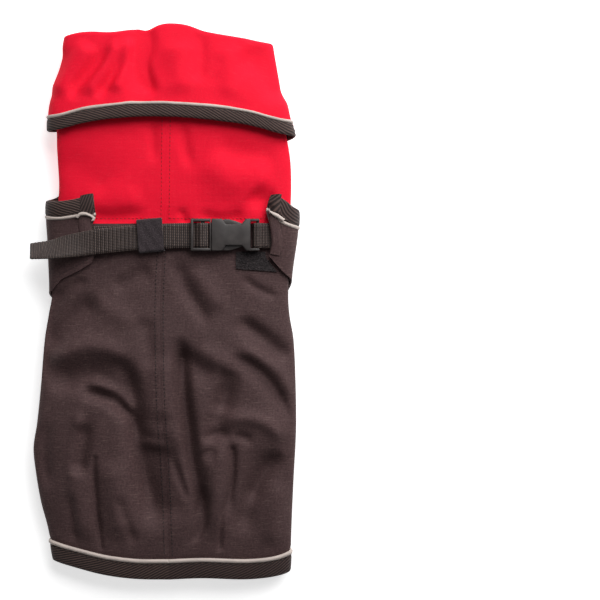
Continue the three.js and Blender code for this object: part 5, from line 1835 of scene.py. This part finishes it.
@dataclass
class Buckle:
    """Side-release buckle for 20 mm webbing: frame with prongs, and housing."""

    belt: Belt
    width: float = 25.4
    height: float = 8.0
    rail: float = 2.2

    def place(self, bm: Mesh) -> None:
        """Tilts the flat buckle onto the back."""
        turn = Matrix.Rotation(self.belt.tilt, 4, "Y")
        shift = Matrix.Translation((self.belt.middle, BUCKLE_Y, self.belt.rest))
        back = Matrix.Translation((-self.belt.middle, 0, 0))
        bmesh.ops.transform(bm, matrix=shift @ turn @ back, verts=bm.verts)

    def plate(self, bm: Mesh, outline: Sequence[Place], low: float, high: float, soft: float) -> None:
        """Adds a plate with rounded edges.

        Args:
            bm: mesh to add it to.
            outline: its corners.
            low: its underside.
            high: its upper side.
            soft: how far its edges are rounded.
        """
        face = bm.faces.new([bm.verts.new((x, y, low)) for x, y in outline])
        raised = bmesh.ops.extrude_face_region(bm, geom=[face])["geom"]
        tops = [g for g in raised if isinstance(g, bmesh.types.BMVert)]
        bmesh.ops.translate(bm, vec=(0, 0, high - low), verts=tops)
        faces = {f for v in [*tops, *face.verts] for f in v.link_faces}
        bmesh.ops.recalc_face_normals(bm, faces=list(faces))
        edges = list({e for f in faces for e in f.edges})
        bmesh.ops.bevel(
            bm, geom=edges, offset=soft, segments=3, profile=0.5, affect="EDGES", material=-1,
            clamp_overlap=True,
        )

    def bar(
        self, bm: Mesh, x0: float, x1: float, y0: float, y1: float, z0: float, z1: float, soft: float = 0.6
    ) -> None:
        """Adds a bar with rounded edges between six planes."""
        self.plate(bm, ((x0, y0), (x1, y0), (x1, y1), (x0, y1)), z0, z1, soft)

    def build(self) -> None:
        """Makes both halves of the buckle."""
        settle(self.frame(), "buckle_plastic", "buckle_frame")
        settle(self.housing(), "buckle_plastic", "buckle_housing")

    def frame(self) -> Piece:
        """Ladder frame with its cross bar, guide and curved prongs."""
        half = self.width / 2
        bm = bmesh.new()
        for sign in (-1, 1):
            y0, y1 = sorted((sign * half, sign * (half - self.rail)))
            self.bar(bm, BUCKLE_LEFT, 36.9, y0, y1, 0.3, self.height - 0.7)
            self.plate(bm, self.prong(sign), 2.7, 5.4, 0.5)
        self.bar(bm, BUCKLE_LEFT, 23.2, -half, half, 4.7, self.height - 0.6)
        self.bar(bm, 29.2, 32.2, -half + 0.5, half - 0.5, 2.7, 5.2, 0.8)
        self.bar(bm, 35.9, 37.0, -half, half, 0.9, self.height - 0.6, 0.4)
        self.bar(bm, 36.4, 58, -1.6, 1.6, 2.8, 5.2)
        self.place(bm)
        return object_from(bm, "buckle_prong_frame", ACETAL)

    def prong(self, sign: int) -> list[Place]:
        """Outline of one springy prong, bowed out where it is squeezed."""
        bowed = np.array([(36.4, 9.4), (42, 10.6), (47, 12.2), (51, 12.4), (56, 11.2), (61, 9.4), (64, 7.6)])
        hollow = np.array([(64, 5.2), (58, 6.6), (50, 7.8), (43, 7.2), (36.4, 6.2)])
        outline = np.vstack([smooth_line(bowed, 18), smooth_line(hollow, 10)])
        points = [(float(x), float(y)) for x, y in outline]
        return [(x, sign * y) for x, y in (points if sign < 0 else points[::-1])]

    def housing(self) -> Piece:
        """Housing with side scallops, rails and end bar."""
        half = self.width / 2
        deep = half - 4.4
        outline = [
            (37.4, -half), (45.9, -half), (48.6, -deep), (61.6, -deep), (65.2, -half), (68.4, -half),
            (68.4, half), (64.6, half), (61.0, deep), (48.9, deep), (45.7, half), (37.4, half),
        ]
        bm = bmesh.new()
        self.plate(bm, outline, 5.5, self.height, 0.75)
        self.plate(bm, outline, 0.0, 2.5, 0.6)
        for sign in (-1, 1):
            y0, y1 = sorted((sign * (deep - 1.2), sign * (deep - 0.3)))
            self.bar(bm, 49.5, 60.8, y0, y1, 0.6, self.height - 0.5, 0.3)
            y0, y1 = sorted((sign * half, sign * (half - 1.7)))
            self.bar(bm, 37.5, 45.4, y0, y1, 0.4, self.height - 0.3, 0.5)
            self.bar(bm, 65.2, 68.3, y0, y1, 0.4, self.height - 0.3, 0.5)
            y0, y1 = sorted((sign * half, sign * (half - self.rail + 0.2)))
            rail = [(67.0, y0), (75.4, y0), (75.6, (y0 + y1) / 2), (75.4, y1), (67.0, y1)]
            self.plate(bm, rail, 0.9, self.height - 0.9, 0.6)
        self.bar(bm, 65.6, 68.3, -half + 0.6, half - 0.6, 0.3, self.height - 0.3, 0.6)
        self.bar(bm, 73.0, 75.5, -half + 0.5, half - 0.5, 2.7, 5.2, 0.8)
        self.place(bm)
        return object_from(bm, "buckle_housing_shell", ACETAL)


@dataclass
class Patches:
    """Bare rubber label on the outer flap and loop patch under the buckle."""

    tailor: Tailor
    label: tuple[float, float, float, float] = (-77.0, -53.0, -124.0, -99.0)
    corner: float = 2.0

    def build(self) -> None:
        """Makes both patches."""
        self.label_patch()
        self.loop_patch()

    def placed(self, face: Face, side: int, points: Sequence[Place]) -> Array:
        """Points of an outline on the unrolled back."""
        form = self.tailor.form
        return np.array([form.unroll(Sheet.BACK, side, EdgePoint(face, x, y)) for x, y in points])

    def label_patch(self) -> None:
        """Satin rubber patch with a raised rim and a stitched border."""
        left, right, low, high = self.label
        x, y = (left + right) / 2, (low + high) / 2
        corners = rounded_corners(left, right, low, high, self.corner)
        rim = Relief(step=0.4)
        gx, gy = np.meshgrid(rim.xs, rim.ys)
        reach = np.maximum(np.abs(gx - x) - (right - left) / 2, np.abs(gy - y) - (high - low) / 2)
        rim_height, rim_inner, rim_foot = 0.3, -1.6, -2.4
        rim.heights = -rim_height * ramp(reach, rim_inner, rim_foot)
        outline = self.placed(Face.UNDER, -1, corners)
        piece = self.tailor.panel("label_plate", Sheet.BACK, outline, flat_lift(SEAM + 0.6), RUBBER, 0.8, rim)
        settle(thicken(piece, 0.6), "label_rubber", "label_patch")
        border = [(x + (a - x) * 0.93, y + (b - y) * 0.93) for a, b in corners]
        line = even_steps(self.placed(Face.UNDER, -1, [*border, border[0]]), 120)
        rows = [(Sheet.BACK, line, flat_lift(SEAM + 0.55))]
        self.tailor.stitches("label_sewing", rows, DARK_THREAD, LABEL_STITCH, "label_rubber")

    def loop_patch(self) -> None:
        """Fuzzy loop patch, frayed along its lower edge."""
        corners = (
            (57.1, 40.2), (57.1, 26.8), (66, 26.0), (78, 25.2), (89.4, 24.2), (80.6, 35.6), (80.2, 40.2),
        )
        outline = self.placed(Face.TOP, 1, corners)
        tufts = Relief()
        tufts.heights = np.random.default_rng(9).normal(size=tufts.heights.shape) * 0.12
        piece = self.tailor.panel(
            "loop_patch_pile", Sheet.BACK, outline, flat_lift(SEAM + 1.1), LOOP, 0.9, tufts
        )
        settle(thicken(piece, 1.1), "loop_fabric", "loop_patch")
        draw = random.Random(12)
        spots = []
        spans = []
        while len(spots) < 420:
            x, y = draw.uniform(57.4, 89), draw.uniform(24.6, 40)
            if y > 27.2 - (x - 57) * 0.08 and x < 80.4 + max(0.0, (35.6 - y)) * 0.75:
                spots.append((x, y))
        for x, y in spots:
            z = self.tailor.form.crown(x, y) + SEAM + 1.15
            turn = draw.uniform(0, math.pi)
            reach = Vector((math.cos(turn), math.sin(turn), 0)) * draw.uniform(0.5, 0.9)
            peak = Vector((x, y, z + draw.uniform(0.35, 0.8)))
            foot = Vector((x, y, z - 0.2))
            spans += [(foot - reach, peak, 0.28), (peak, foot + reach, 0.28)]
        settle(beads("loop_patch_loops", spans, LOOP), "loop_fabric")


@dataclass
class Studio:
    """Camera straight above the coat, pale floor and soft light."""

    lens: float = 100.0
    distance: float = 1.3333
    middle: Place = (0.108, 0.0018)

    def build(self) -> None:
        """Makes the camera, the floor, the lights and the world."""
        scene = bpy.context.scene
        camera = bpy.data.objects.new("camera", bpy.data.cameras.new("camera"))
        camera.data.lens = self.lens
        camera.data.sensor_width = 36.0
        camera.data.clip_end = 20.0
        camera.location = (self.middle[0], self.middle[1], self.distance + 0.02)
        scene.collection.objects.link(camera)
        scene.camera = camera
        self.floor()
        self.light("key", (0.62, 1.16, 0.98), size=1.5, power=39.0)
        self.light("fill", (-0.6, -0.5, 1.8), size=1.6, power=1.2)
        world = bpy.data.worlds.new("studio")
        scene.world = world
        world.use_nodes = True
        background = world.node_tree.nodes["Background"]
        background.inputs["Color"].default_value = linear("f4f5f7")
        background.inputs["Strength"].default_value = 0.13
        scene.view_settings.view_transform = "Standard"

    def floor(self) -> None:
        """Plain pale floor under the coat."""
        bm = bmesh.new()
        bmesh.ops.create_grid(bm, x_segments=1, y_segments=1, size=3000.0)
        bmesh.ops.translate(bm, vec=(0, 0, -0.3), verts=bm.verts)
        object_from(bm, "studio_floor", PAPER)

    def light(self, name: str, place: Point, size: float, power: float) -> None:
        """Adds a soft square light that looks at the coat."""
        data = bpy.data.lights.new(name, "AREA")
        data.energy = power
        data.size = size
        lamp = bpy.data.objects.new(name, data)
        lamp.location = place
        lamp.rotation_euler = (-Vector(place)).to_track_quat("-Z", "Y").to_euler()
        bpy.context.scene.collection.objects.link(lamp)


def main() -> None:
    """Builds the coat piece by piece, then the studio."""
    logging.basicConfig(level=logging.INFO, format="%(name)s: %(message)s")
    Studio().build()
    tailor = Tailor(CoatForm())
    BodyHalf(tailor, -1, HEM_LEFT, DART_LEFT).build()
    BodyHalf(tailor, 1, HEM_RIGHT, DART_RIGHT).build()
    Yoke(tailor).build()
    Collar(tailor).build()
    ChestPanel(tailor).build()
    Belt(tailor).build()
    Patches(tailor).build()


if __name__ == "__main__":
    main()
